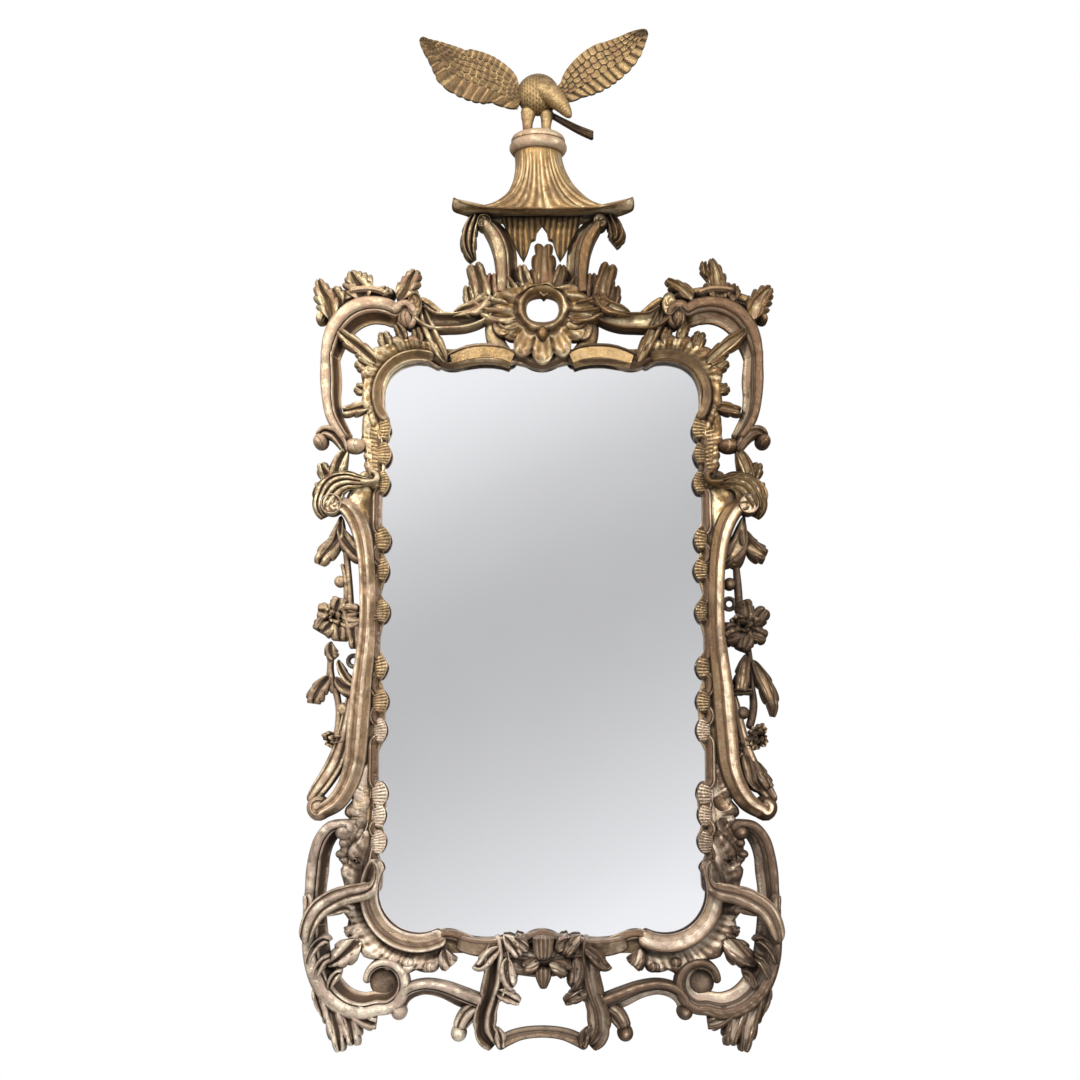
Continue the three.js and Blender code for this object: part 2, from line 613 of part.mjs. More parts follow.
function garlandRight(grow) {
  const side = 1;
  const fronds = [
    [[314, 196, 4], [310, 176, 12], [306, 152, 20], [288, 128, 12], [266, 113, 4]],
    [[312, 170, 10], [324, 152, 14], [338, 140, 8], [347, 133, 3]],
    [[298, -22, 6], [300, -48, 8], [299, -74, 6]],
    [[320, -10, 5], [328, -36, 6], [336, -64, 5], [344, -92, 4]],
    [[340, -70, 8], [350, -94, 8], [356, -115, 3]],
    [[270, -78, 4], [296, -78, 5], [320, -78, 4]],
    [[306, -165, 8], [309, -186, 11], [306, -209, 4]],
    [[334, -160, 8], [334, -190, 11], [330, -212, 12], [334, -227, 5]],
  ];
  const stems = [
    [[302, 150, 4], [299, 120, 4], [304, 88, 4], [309, 52, 4]],
    [[306, -4, 5], [300, -30, 4]],
    [[299, -70, 4], [303, -95, 4], [303, -120, 4], [301, -152, 5]],
    [[345, -105, 4], [342, -125, 4], [334, -140, 4], [330, -150, 5]],
    [[301, -152, 5], [316, -150, 5], [332, -150, 5]],
  ];
  const parts = [
    ...fronds.map((route) => strand(route, { ...frond, side, grow })),
    ...stems.map((route) => strand(route, { ...stem, side, grow })),
    lump([307, 18, 44, 38], { ...blossom, side, grow }),
    lump([290, 88, 9, 9], { ...berry, side, grow }),
    lump([304, -110, 8, 8], { ...berry, side, grow }),
    lump([299, -157, 15, 15], { ...blossom, front: GARLAND_FRONT - 6, side, grow }),
    lump([331, -146, 17, 20], { ...blossom, front: GARLAND_FRONT - 2, side, grow }),
  ];
  return join(parts);
}

// ---- Carved pieces by name -------------------------------------------------------------------------

// Each entry makes the piece, a little larger all round when grow is given, so that a neighbour can
// be cut to fit it.
const carve = {
  cartouche: (g) => join([
    cartouche(g),
    strand(TOP_LEAF, { ...leafy, steps: 5, grow: g }),
    strand(TOP_LEAF_SIDE, { ...leafy, steps: 3, grow: g }),
    strand(TOP_LEAF_SIDE, { ...leafy, steps: 3, side: -1, grow: g }),
    strand(CARTOUCHE_WING, { ...leafy, steps: 3, grow: g }),
    strand(CARTOUCHE_WING, { ...leafy, steps: 3, side: -1, grow: g }),
    strand(CARTOUCHE_HORN, { ...shell, steps: 3, grow: g }),
    strand(CARTOUCHE_HORN, { ...shell, steps: 3, side: -1, grow: g }),
  ]),
  pagoda_roof: roof,
  pagoda_cap: cap,
  roof_fringe: fringe,
  bird_body: bird,
  bird_wing_left: (g) => wing(WING_LEFT, g),
  bird_wing_right: (g) => wing(WING_RIGHT, g),
  garland_left: garlandLeft,
  garland_right: garlandRight,
  apron_shell: (g) => join([
    strand(APRON_SHELL, { ...leafy, steps: 7, grow: g }),
    strand(APRON_YOKE, { ...member, front: MEMBER_FRONT - 6, steps: 6, grow: g }),
  ]),
  apron_bar: (g) => strand(APRON_BAR, { ...member, front: MEMBER_FRONT - 8, steps: 8, grow: g }),
};

for (const [word, side] of [['left', -1], ['right', 1]]) {
  const corner = side < 0 ? CORNER_LEAVES_LEFT : CORNER_LEAVES_RIGHT;
  Object.assign(carve, {
    [`corner_arch_${word}`]: (g) => join([
      strand(ARCH, { ...member, side, grow: g }),
      boss(ARCH_EYE, { ...member, side, grow: g }),
    ]),
    [`corner_leaves_${word}`]: (g) => join([
      strand(CORNER_BASE, { ...leafy, side, grow: g, steps: 5 }),
      ...corner.map((route) => strand(route, { ...leafy, side, grow: g, steps: 4 })),
    ]),
    [`outer_scroll_${word}`]: (g) => strand(OUTER_SCROLL, { ...member, side, grow: g, steps: 7 }),
    [`ear_shell_${word}`]: (g) => join([
      strand(EAR_SHELL, { ...shell, side, grow: g, steps: 10 }),
      strand(EAR_POINT, { ...shell, side, grow: g, steps: 3 }),
      strand(EAR_LINK, { ...shell, side, grow: g, steps: 2 }),
      strand(LINK_LEAF, { ...leafy, side, grow: g, steps: 5 }),
    ]),
    [`crest_rail_${word}`]: (g) => join([
      strand(CREST_RAIL, { ...member, side, grow: g }),
      boss(CREST_EYE, { ...member, side, grow: g }),
      strand(CREST_SPRAY, { ...leafy, side, grow: g, steps: 4 }),
      strand(CREST_SPRAY_SIDE, { ...leafy, side, grow: g, steps: 3 }),
    ]),
    [`post_${word}`]: (g) => join([
      strand(POST, { ...member, side, grow: g, steps: 9 }),
      boss(POST_EYE, { ...member, side, grow: g }),
    ]),
    [`tassel_${word}`]: (g) => strand(side < 0 ? TASSEL_LEFT : TASSEL_RIGHT, {
      ...leafy, side, grow: g, steps: 5,
    }),
    [`side_acanthus_${word}`]: (g) => join([
      strand(SIDE_ACANTHUS, { ...member, side, grow: g, steps: 9 }),
      strand(SIDE_CURL, { ...member, side, grow: g, steps: 6 }),
      strand(SIDE_EDGE, { ...member, side, grow: g, steps: 3 }),
      boss(SIDE_EYE, { ...member, side, grow: g }),
    ]),
    [`long_scroll_${word}`]: (g) => join([
      strand(LONG_SCROLL, { ...member, side, grow: g, steps: 18 }),
      boss(LONG_EYE_TOP, { ...member, side, grow: g }),
      boss(LONG_EYE_LOW, { ...member, side, grow: g }),
    ]),
    [`low_scroll_${word}`]: (g) => join([
      strand(LOW_SCROLL, { ...member, side, grow: g, steps: 7 }),
      boss(LOW_EYE, { ...member, side, grow: g }),
    ]),
    [`low_shell_${word}`]: (g) => join([
      strand(LOW_SHELL, { ...shell, side, grow: g, steps: 11 }),
      strand(LOW_POINT, { ...shell, side, grow: g, steps: 3 }),
      boss(LOW_ROSE, { ...shell, front: SHELL_FRONT + 4, side, grow: g, sides: 10 }),
    ]),
    [`big_scroll_${word}`]: (g) => join([
      strand(BIG_SCROLL, { ...member, side, grow: g, steps: 11 }),
      boss(BIG_EYE, { ...member, front: MEMBER_FRONT - 8, side, grow: g, sides: 12 }),
      ...FOOT.map((route) => strand(route, { ...leafy, side, grow: g, steps: 3 })),
    ]),
    [`spray_${word}`]: (g) => strand(SPRAY, {
      back: MEMBER_FRONT + CLEAR, front: SPRAY_FRONT, section: LEAF, side, grow: g, steps: 10,
    }),
    [`apron_scroll_${word}`]: (g) => join([
      strand(APRON_SCROLL, { ...member, side, grow: g }),
      strand(APRON_DROP, { ...member, side, grow: g, steps: 4 }),
      boss(APRON_EYE, { ...member, side, grow: g }),
      boss(APRON_DROP_EYE, { ...member, side, grow: g }),
    ]),
    [`apron_column_${word}`]: (g) => join([
      strand(APRON_COLUMN, { ...member, side, grow: g, steps: 7 }),
      strand(APRON_POINT, { ...leafy, side, grow: g, steps: 4 }),
    ]),
  });
}

// Which carved pieces each one is cut back to fit. Those first in the list are cut least.
const cutBy = {
  cartouche: [],
  pagoda_roof: [],
  pagoda_cap: ['pagoda_roof'],
  bird_body: ['pagoda_cap'],
  bird_wing_left: ['bird_body'],
  bird_wing_right: ['bird_body'],
  post_left: ['cartouche', 'pagoda_roof'],
  post_right: ['cartouche', 'pagoda_roof'],
  roof_fringe: ['pagoda_roof', 'post_left', 'post_right', 'cartouche'],
  apron_shell: [],
  apron_bar: ['apron_column_left', 'apron_column_right'],
  garland_left: ['long_scroll_left', 'side_acanthus_left', 'low_scroll_left'],
  garland_right: ['long_scroll_right', 'side_acanthus_right', 'low_scroll_right'],
};

for (const word of ['left', 'right']) {
  const named = (...names) => names.map((name) => `${name}_${word}`);
  Object.assign(cutBy, {
    [`long_scroll_${word}`]: [],
    [`corner_arch_${word}`]: [],
    [`ear_shell_${word}`]: named('corner_arch', 'crest_rail', 'outer_scroll'),
    [`outer_scroll_${word}`]: named('corner_arch'),
    [`side_acanthus_${word}`]: named('long_scroll', 'outer_scroll', 'ear_shell'),
    [`corner_leaves_${word}`]: named('corner_arch', 'outer_scroll'),
    [`crest_rail_${word}`]: ['cartouche', ...named('corner_arch', 'corner_leaves', 'post')],
    [`tassel_${word}`]: ['pagoda_roof', ...named('post')],
    [`low_scroll_${word}`]: named('long_scroll'),
    [`low_shell_${word}`]: named('low_scroll', 'long_scroll'),
    [`big_scroll_${word}`]: named('low_scroll', 'low_shell'),
    [`spray_${word}`]: [],
    [`apron_scroll_${word}`]: named('big_scroll', 'low_shell', 'apron_column'),
    [`apron_column_${word}`]: ['apron_shell'],
  });
}

// ---- Rings and small fittings --------------------------------------------------------------------

// A round bar between two points of one axis.
function bar(axis, r, from, to, [x, y, z], sides = 12) {
  const geometry = new THREE.CylinderGeometry(r, r, Math.abs(to - from), sides);
  geometry.translate(0, (from + to) / 2, 0);
  if (axis === 'x') geometry.rotateZ(-Math.PI / 2);
  if (axis === 'z') geometry.rotateX(Math.PI / 2);
  geometry.translate(x, y, z);
  return solid(geometry);
}

const BARREL_R = 3.4;
const BARREL_H = 8;
const EAR_H = 4.5;

// Plate on the side of the stile, with two ears that hold the pins of the ring.
function ringPlate(side, z) {
  const u = STILE_OUT + CLEAR;
  const hinge = STILE_OUT + HINGE_OUT;
  const sheet = block(side * u, side * (u + PLATE_T), -HINGE_Y + PLATE_W / 2, -HINGE_Y - PLATE_W / 2,
    z - PLATE_L / 2, z + PLATE_L / 2);
  const low = BARREL_H / 2 + CLEAR;
  const ears = [1, -1].map((way) => join([
    bar('z', BARREL_R, way * low, way * (low + EAR_H), [side * hinge, -HINGE_Y, z]),
    block(side * u, side * hinge, -HINGE_Y - 2.4, -HINGE_Y + 2.4, z + way * low, z + way * (low + EAR_H)),
  ]));
  const bore = bar('z', PIN_R + CLEAR, -20, 20, [side * hinge, -HINGE_Y, z]);
  const holes = [1, -1].map((way) => bar(
    'x', 1.5, -30, 30, [side * u, -HINGE_Y, z + way * (PLATE_L / 2 - 6)], 8,
  ));
  const swing = bar('z', BARREL_R + 0.5, -low, low, [side * hinge, -HINGE_Y, z]);
  return [bore, swing, ...holes].reduce((rest, cut) => rest.subtract(cut), join([sheet, ...ears]));
}

// The ring: a round loop, a short neck, and a barrel with a pin at each end.
function ring(side, z) {
  const hinge = STILE_OUT + HINGE_OUT;
  const centre = STILE_OUT + RING_REACH;
  const wire = RING_WIRE / 2;
  const profile = [];
  for (let i = 0; i <= 8; i += 1) {
    const turn = ((i + 0.5) / 8) * 2 * Math.PI;
    profile.push(new THREE.Vector2(RING_R - wire + wire * Math.cos(turn), wire * Math.sin(turn)));
  }
  profile[8].copy(profile[0]);
  const loop = new THREE.LatheGeometry(profile, 18);
  loop.translate(side * centre, -HINGE_Y, z);
  const neck = bar('x', 2.6, side * hinge, side * (centre - RING_R + wire), [0, -HINGE_Y, z], 8);
  const barrel = bar('z', BARREL_R, -BARREL_H / 2, BARREL_H / 2, [side * hinge, -HINGE_Y, z]);
  const pins = bar('z', PIN_R, -BARREL_H / 2 - EAR_H, BARREL_H / 2 + EAR_H,
    [side * hinge, -HINGE_Y, z], 10);
  return join([solid(loop), neck, barrel, pins]);
}

// A round-headed screw through the plate into the stile; its shank fills a hole in the stile.
function screw(side, z) {
  const u = STILE_OUT + CLEAR + PLATE_T + CLEAR;
  const profile = [[0, 0], [SCREW_R, 0], [SCREW_R * 0.75, SCREW_H * 0.7], [0, SCREW_H]];
  const head = new THREE.LatheGeometry(profile.map(([x, h]) => new THREE.Vector2(x, h)), 10);
  head.rotateZ(-side * Math.PI / 2);
  head.translate(side * u, -HINGE_Y, z);
  const shank = bar('x', 1.1, side * (u + 0.4), side * (STILE_OUT - 5), [0, -HINGE_Y, z], 8);
  return join([solid(head), shank]);
}

// ---- Assembly --------------------------------------------------------------------------------------

const gilt = { color: 0xb08a4a, roughness: 0.45, metalness: 0.75 };
const giltDark = { color: 0x8a6a3e, roughness: 0.55, metalness: 0.6 };
const silvered = { color: 0xc9cacf, roughness: 0.05, metalness: 1 };
const pine = { color: 0x8b6a45, roughness: 0.85, metalness: 0 };
const oldBrass = { color: 0x6b6252, roughness: 0.5, metalness: 0.8 };

const mirror = new THREE.Group();

function put(name, piece, finish) {
  const mesh = new THREE.Mesh(toGeometry(piece), new THREE.MeshStandardMaterial(finish));
  mesh.name = name;
  mirror.add(mesh);
}

const ringHeights = { left: RING_Z_LEFT, right: RING_Z_RIGHT };
for (const [word, side] of [['left', -1], ['right', 1]]) {
  const z = ringHeights[word];
  const screwPlaces = [z + PLATE_L / 2 - 6, z - PLATE_L / 2 + 6];
  const pilot = screwPlaces.map((at) => bar(
    'x', 1.1 + CLEAR, side * (STILE_OUT + 1), side * (STILE_OUT - 5 - CLEAR), [0, -HINGE_Y, at], 8,
  ));
  put(`stile_${word}`, pilot.reduce((rest, hole) => rest.subtract(hole), stile(side)), gilt);
  put(`ring_plate_${word}`, ringPlate(side, z), oldBrass);
  put(`hanging_ring_${word}`, ring(side, z), oldBrass);
  put(`screw_upper_${word}`, screw(side, screwPlaces[0]), oldBrass);
  put(`screw_lower_${word}`, screw(side, screwPlaces[1]), oldBrass);
}

// The top rail carries a carved arch at each side of the cartouche.
const arches = [['left', -1], ['right', 1]].map(([word, side]) => {
  const mould = strand(TOP_MOULD, { back: REBATE, front: SHELL_FRONT, side, steps: 8 });
  const near = ['cartouche', `ear_shell_${word}`];
  const fitted = near.reduce((rest, other) => rest.subtract(carve[other](CLEAR)), mould);
  return fitted.subtract(rebateBox).subtract(openingPrism);
});
put('rail_top', join([rail(SIGHT_Z - SCALLOP - 1, RAIL_OUT), ...arches]), gilt);
put('rail_bottom', rail(-RAIL_OUT - 6, -SIGHT_Z + SCALLOP + 1), gilt);

const glassBack = REBATE - CLEAR - GLASS_T;
put('mirror_plate', block(-HALF_W, HALF_W, -glassBack, -glassBack - GLASS_T, -HALF_H, HALF_H), silvered);

const boardW = (GLASS_W - (BOARDS - 1) * CLEAR) / BOARDS;
for (let i = 0; i < BOARDS; i += 1) {
  const x = -HALF_W + i * (boardW + CLEAR);
  put(`backboard_${i + 1}`, block(x, x + boardW, 0, -BOARD_T, -HALF_H, HALF_H), pine);
}

const blockBack = BOARD_T + CLEAR;
const blockFront = glassBack - CLEAR;
const blocks = [
  ['left', -HALF_W, -HALF_W + BLOCK_W, -BLOCK_L / 2, BLOCK_L / 2],
  ['right', HALF_W - BLOCK_W, HALF_W, -BLOCK_L / 2, BLOCK_L / 2],
];
for (const [word, x0, x1, z0, z1] of blocks) {
  put(`glazing_block_${word}`, block(x0, x1, -blockBack, -blockFront, z0, z1), pine);
}

for (const [name, make] of Object.entries(carve)) {
  let piece = make(0).subtract(bodyBox);
  for (const other of cutBy[name]) piece = piece.subtract(carve[other](CLEAR));
  const dull = name.includes('low_') || name.includes('big_') || name.includes('apron');
  put(name, piece, dull ? giltDark : gilt);
}

export default mirror;
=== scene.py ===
# %% [markdown]
# # A carved giltwood wall mirror
# The glass hangs in a pierced frame of carved and gilded softwood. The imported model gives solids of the
# right size and place. They could be sculpted further by hand, but here every carved member becomes a
# surface worked out on a grid of two parameters: a carver also sets out such work as a section that
# follows a drawn line, and every number can still be changed.
# Numbers are in millimetres, u to the right, z up, and depth counted forwards from the wall.

# %% Load the frame
import bpy
import numpy as np
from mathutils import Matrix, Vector


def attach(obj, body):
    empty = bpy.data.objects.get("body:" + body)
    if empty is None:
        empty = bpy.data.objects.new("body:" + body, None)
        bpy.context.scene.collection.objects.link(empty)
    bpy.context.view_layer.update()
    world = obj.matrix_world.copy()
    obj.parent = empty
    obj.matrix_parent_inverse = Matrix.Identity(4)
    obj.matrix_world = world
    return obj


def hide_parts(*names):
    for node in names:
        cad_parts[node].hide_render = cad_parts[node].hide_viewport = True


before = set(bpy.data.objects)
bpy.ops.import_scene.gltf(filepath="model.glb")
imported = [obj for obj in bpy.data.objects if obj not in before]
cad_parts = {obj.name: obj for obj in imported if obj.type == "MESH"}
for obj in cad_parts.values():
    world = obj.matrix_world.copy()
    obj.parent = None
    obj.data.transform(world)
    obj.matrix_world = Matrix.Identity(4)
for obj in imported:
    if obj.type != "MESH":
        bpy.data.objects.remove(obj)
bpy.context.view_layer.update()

# %% [markdown]
# ## The camera
# The glass was photographed from a little below its middle, looking slightly up. The camera stands
# 2.5 m in front of the wall, so the crest is seen from underneath.

# %% Camera
lens = bpy.data.cameras.new("view")
lens.sensor_width = 36
lens.lens = 53.56
camera = bpy.data.objects.new("view", lens)
camera.location = (-0.003, -2.5057, -0.1899)
camera.rotation_euler = (np.radians(98), 0, 0)
bpy.context.scene.collection.objects.link(camera)
bpy.context.scene.camera = camera
print("camera at", tuple(round(v, 3) for v in camera.location))

# %% [markdown]
# ## Nodes
# Light and materials are trees of nodes. They could be wired by hand in the editor. A few helpers that
# make one node each keep the recipes below short enough to read.

# %% Node helpers
def put(tree, socket, value):
    """Sets a socket: links another socket to it, or writes a number or a colour."""
    if isinstance(value, bpy.types.NodeSocket):
        tree.links.new(value, socket)
    elif isinstance(value, tuple) and len(value) == 3 and len(socket.default_value) == 4:
        socket.default_value = (*value, 1)
    else:
        socket.default_value = value


def add(tree, kind, *values, **settings):
    """A new node. Its settings are made first, then the values go to its inputs in order."""
    node = tree.nodes.new("ShaderNode" + kind)
    for key, setting in settings.items():
        setattr(node, key, setting)
    for socket, value in zip(node.inputs, values):
        put(tree, socket, value)
    return node


def calc(tree, kind, a, b):
    """One sum on two numbers."""
    return add(tree, "Math", a, b, operation=kind).outputs[0]


def weighed(tree, a, a_share, b, b_share):
    """a times its share plus b times its share."""
    return calc(tree, "ADD", calc(tree, "MULTIPLY", a, a_share), calc(tree, "MULTIPLY", b, b_share))


def blend(tree, share, a, b):
    """A colour that goes from a to b."""
    node = add(tree, "Mix", share, data_type="RGBA")
    put(tree, node.inputs[6], a)
    put(tree, node.inputs[7], b)
    return node.outputs[2]


def remap(tree, value, low, high, to_low=0.0, to_high=1.0):
    """A value between two limits, moved smoothly to two others and held there."""
    return add(tree, "MapRange", value, low, high, to_low, to_high, interpolation_type="SMOOTHSTEP").outputs[0]


def grain(tree, scale, detail=4.0, rough=0.55, stretch=None):
    """Noise on Object coordinates; scale counts blotches along a metre."""
    place = add(tree, "TexCoord").outputs["Object"]
    if stretch:
        mapping = add(tree, "Mapping", place)
        mapping.inputs["Scale"].default_value = stretch
        place = mapping.outputs[0]
    return add(tree, "TexNoise", place, 0.0, scale, detail, rough).outputs[0]


def tree_of(name):
    """An empty node material with its output and one Principled shader."""
    material = bpy.data.materials.new(name)
    material.use_nodes = True
    tree = material.node_tree
    tree.nodes.clear()
    shader = add(tree, "BsdfPrincipled")
    add(tree, "OutputMaterial", shader.outputs[0])
    return material, tree, shader


def bumped(tree, shader, height, distance):
    """Bump from a height."""
    node = add(tree, "Bump")
    node.inputs["Distance"].default_value = distance
    put(tree, node.inputs["Height"], height)
    put(tree, shader.inputs["Normal"], node.outputs[0])

# %% [markdown]
# ## Light
# Soft light from the upper left and a weaker fill from the right, as in a studio. A picture of a room
# could light the scene; a plain world is steadier and needs no file. The camera sees white, the gilding
# mirrors a studio that is bright above and dim below, and the plate mirrors a band of grey straight
# ahead, which gives it the slow shading of the photo.

# %% World and lamps
ROOM = [(0.0, 0.97), (0.10, 0.93), (0.20, 0.78), (0.28, 0.65), (0.41, 0.54), (0.51, 0.535),
        (0.59, 0.575), (0.69, 0.65), (0.84, 0.80), (0.92, 0.92), (1.0, 0.97)]


def make_world():
    """Backgrounds chosen by the kind of ray. Each gradient is the ray's direction multiplied by a fixed
    direction, and moved from one range to another."""
    world = bpy.data.worlds.new("studio")
    bpy.context.scene.world = world
    world.use_nodes = True
    tree = world.node_tree
    tree.nodes.clear()
    way = add(tree, "TexCoord").outputs["Generated"]
    ray = add(tree, "LightPath").outputs

    def toward(direction, *limits, kind="LINEAR"):
        share = add(tree, "VectorMath", way, direction, operation="DOT_PRODUCT").outputs["Value"]
        return add(tree, "MapRange", share, *limits, interpolation_type=kind).outputs[0]

    def light(colour, strength=1.0):
        return add(tree, "Background", colour, strength).outputs[0]

    def choose(share, a, b):
        return add(tree, "MixShader", share, a, b).outputs[0]

    band = add(tree, "ValToRGB", toward((0.45, 0, -1), -0.30, 0.15))
    while len(band.color_ramp.elements) < len(ROOM):
        band.color_ramp.elements.new(0.5)
    for element, (at, grey) in zip(band.color_ramp.elements, ROOM):
        element.position = at
        element.color = (grey, grey * 1.005, grey * 1.025, 1)
    studio = light((1.0, 0.98, 0.95), toward((-0.20, -0.50, 0.84), -0.55, 0.90, 0.06, 1.05))
    ahead = toward((0, 1, 0), -0.90, -0.955, 0.0, 1.0, kind="SMOOTHSTEP")
    mirrored = choose(ahead, studio, light(band.outputs[0]))
    lit = choose(ray["Is Glossy Ray"], light((0.93, 0.96, 1.0), 0.30), mirrored)
    clear = calc(tree, "MAXIMUM", ray["Is Camera Ray"], ray["Is Transmission Ray"])
    add(tree, "OutputWorld", choose(clear, lit, light((1.0, 1.0, 1.0))))


def lamp(name, place, aim, size, watts, tint):
    """A square area lamp at a place, turned to an aim point."""
    data = bpy.data.lights.new(name, "AREA")
    data.size, data.energy, data.color = size, watts, tint
    item = bpy.data.objects.new(name, data)
    item.location = place
    item.rotation_euler = (Vector(aim) - Vector(place)).to_track_quat("-Z", "Y").to_euler()
    bpy.context.scene.collection.objects.link(item)


make_world()
lamp("key", (-1.3, -2.3, 1.9), (0, 0, -0.05), 0.5, 90, (1.0, 0.98, 0.94))
lamp("fill", (2.0, -2.2, 0.9), (0, 0, -0.1), 0.8, 64, (0.98, 0.99, 1.0))
bpy.context.scene.view_settings.view_transform = "Standard"

# %% [markdown]
# ## Gilding
# Water gilding is thin gold over a red clay ground on white gesso. On the real frame the gold is dusty in
# the hollows and rubbed through to pink clay on edges. The colour also paints light and shade: a pale,
# bright painted highlight on the ridges, and painted shade, brown and umber, in the hollows and crevices.
# A painted picture could show this, but it would not fit another frame. So the tree reads two numbers
# that every carved surface carries, how far a point stands proud of its neighbours ("proud") and how
# deep it lies ("deep"), and noise on Object coordinates breaks both up.

# %% Gilding
# Umber is painted shade, with some dust, for crevices; pink grey goes below and old gold above.
SHADE_UMBER, PINK_GREY, OLD_GOLD = (0.030, 0.016, 0.007), (0.46, 0.34, 0.25), (0.23, 0.135, 0.045)


def gilding(name, pale, gold, brown, clay, metal=0.7, wear=0.0, carved=True):
    """Gold goes to pale on ridges, a painted highlight, greyer below and browner above, to brown in stains,
    to brown in hollows and umber in crevices, both painted shade with some dust, and to clay where it is
    rubbed. Wear raises the share of clay."""
    material, tree, shader = tree_of(name)
    cloud, mottle, fine = grain(tree, 10, 4, 0.6), grain(tree, 75, 7, 0.66), grain(tree, 420, 4, 0.65)
    proud, deep = (add(tree, "Attribute", attribute_name=carried).outputs["Fac"] if carved else 0.15
                   for carried in ("proud", "deep"))
    height = add(tree, "SeparateXYZ", add(tree, "TexCoord").outputs["Object"]).outputs["Z"]
    # Ambient occlusion and depth make the crevice mask, which paints shade with some dust.
    around = add(tree, "AmbientOcclusion", samples=6)
    around.inputs["Distance"].default_value = 0.034
    shut = calc(tree, "SUBTRACT", 1.0, around.outputs["AO"])
    crevice = remap(tree, weighed(tree, shut, 0.95, deep, 0.30), 0.28, 0.80, 0, 0.96)
    rubbed = weighed(tree, proud, 0.20, grain(tree, 34, 8, 0.72), 1.0)
    rubbed = remap(tree, rubbed, 0.66 - wear, 0.80 - wear, 0, 0.8)
    colour = gold
    for share, tint in (
            # Painted highlight: pale where a point stands proud, broken by mottling.
            (remap(tree, weighed(tree, proud, 0.75, mottle, 1.0), 0.46, 1.02), pale),
            (remap(tree, height, 0.15, -0.34, 0, 0.30), PINK_GREY),
            (remap(tree, height, 0.15, 0.62, 0, 0.52), OLD_GOLD),
            (remap(tree, weighed(tree, cloud, 0.6, mottle, 0.5), 0.50, 0.66, 0, 0.78), brown),
            (rubbed, clay),
            # Painted shade, with some dust: brown where a point lies deep.
            (remap(tree, weighed(tree, deep, 1.0, mottle, 0.30), 0.26, 0.95, 0, 0.9), brown),
            # Painted shade, with some dust: umber in crevices that the occlusion node finds.
            (crevice, SHADE_UMBER),
            (remap(tree, fine, 0.60, 0.72, 0, 0.45), brown)):
        colour = blend(tree, share, colour, tint)
    put(tree, shader.inputs["Base Color"], colour)
    dull = calc(tree, "MAXIMUM", rubbed, crevice)
    put(tree, shader.inputs["Metallic"], calc(tree, "MULTIPLY", calc(tree, "SUBTRACT", 1.0, dull), metal))
    smooth = remap(tree, mottle, 0.3, 0.7, 0.26, 0.46)
    put(tree, shader.inputs["Roughness"], weighed(tree, smooth, 1.0, dull, 0.25))
    bumped(tree, shader, weighed(tree, mottle, 1.0, fine, 0.25), 0.0028)
    return material


CLAY, ROSE, DUSTY = (0.28, 0.12, 0.065), (0.46, 0.275, 0.175), (0.46, 0.32, 0.25)
gilt = gilding("bright_gilding", (0.95, 0.80, 0.52), (0.40, 0.24, 0.085), (0.11, 0.055, 0.018), CLAY, 0.60)
gilt_worn = gilding("worn_gilding", (0.93, 0.77, 0.55), (0.38, 0.235, 0.115), (0.11, 0.056, 0.026), ROSE,
                    0.50, 0.05)
gilt_low = gilding("dull_gilding", (0.95, 0.83, 0.66), (0.40, 0.275, 0.17), (0.10, 0.056, 0.032), DUSTY,
                   0.50, 0.05)
# Dark gilding: painted shade on the ear rims and the top arches; the garlands take it as well.
gilt_dark = gilding("dark_gilding_and_painted_shade", (0.62, 0.46, 0.28), (0.20, 0.115, 0.052), (0.070, 0.038, 0.019),
                    (0.27, 0.165, 0.11), 0.5, 0.03)
# Almost black gilding: painted shade inside the hollow of each large scroll.
gilt_painted_shade = gilding("painted_shade_gilding", (0.26, 0.17, 0.10), (0.10, 0.058, 0.030), (0.045, 0.025, 0.014),
                     (0.12, 0.07, 0.045), 0.4)
gilt_feather = gilding("feather_gilding", (0.58, 0.42, 0.21), (0.17, 0.100, 0.036), (0.05, 0.026, 0.010),
                       CLAY, 0.60)
gilt_side = gilding("side_gilding", (0.80, 0.62, 0.36), (0.34, 0.21, 0.085), (0.11, 0.058, 0.02), CLAY,
                    carved=False)
print("gildings", [m.name for m in (gilt, gilt_worn, gilt_low, gilt_dark, gilt_painted_shade, gilt_feather)])

# %% [markdown]
# ## Glass, bare wood and brass
# The plate is old silvered glass, the backboards are raw softwood, and the rings and screws are brass
# that has gone dark. Photographs of such materials could be wrapped on. Two or three layers of noise do
# it here, because they hold from near and far and follow the parts when they are scaled.

# %% Glass, bare wood and old brass
def silvered_plate():
    """An old mirror plate: a clear reflection with a faint haze and a few grey specks."""
    material, tree, shader = tree_of("silvered_plate")
    speck = remap(tree, grain(tree, 240, 2), 0.73, 0.78, 0, 0.10)
    put(tree, shader.inputs["Base Color"], blend(tree, speck, (0.93, 0.93, 0.94), (0.55, 0.55, 0.56)))
    shader.inputs["Metallic"].default_value = 1.0
    put(tree, shader.inputs["Roughness"], remap(tree, grain(tree, 5, 5), 0.3, 0.7, 0.05, 0.11))
    return material


def bare_wood():
    """Old softwood: brown with darker yearly lines along the boards, dusty and dry."""
    material, tree, shader = tree_of("bare_softwood")
    line = grain(tree, 60, 5, 0.6, (1.0, 1.0, 0.05))
    colour = blend(tree, remap(tree, line, 0.35, 0.65), (0.30, 0.17, 0.08), (0.16, 0.085, 0.038))
    dust = remap(tree, grain(tree, 7, 3), 0.4, 0.7, 0, 0.5)
    put(tree, shader.inputs["Base Color"], blend(tree, dust, colour, (0.36, 0.24, 0.13)))
    put(tree, shader.inputs["Roughness"], remap(tree, line, 0.3, 0.7, 0.75, 0.92))
    bumped(tree, shader, line, 0.0008)
    return material


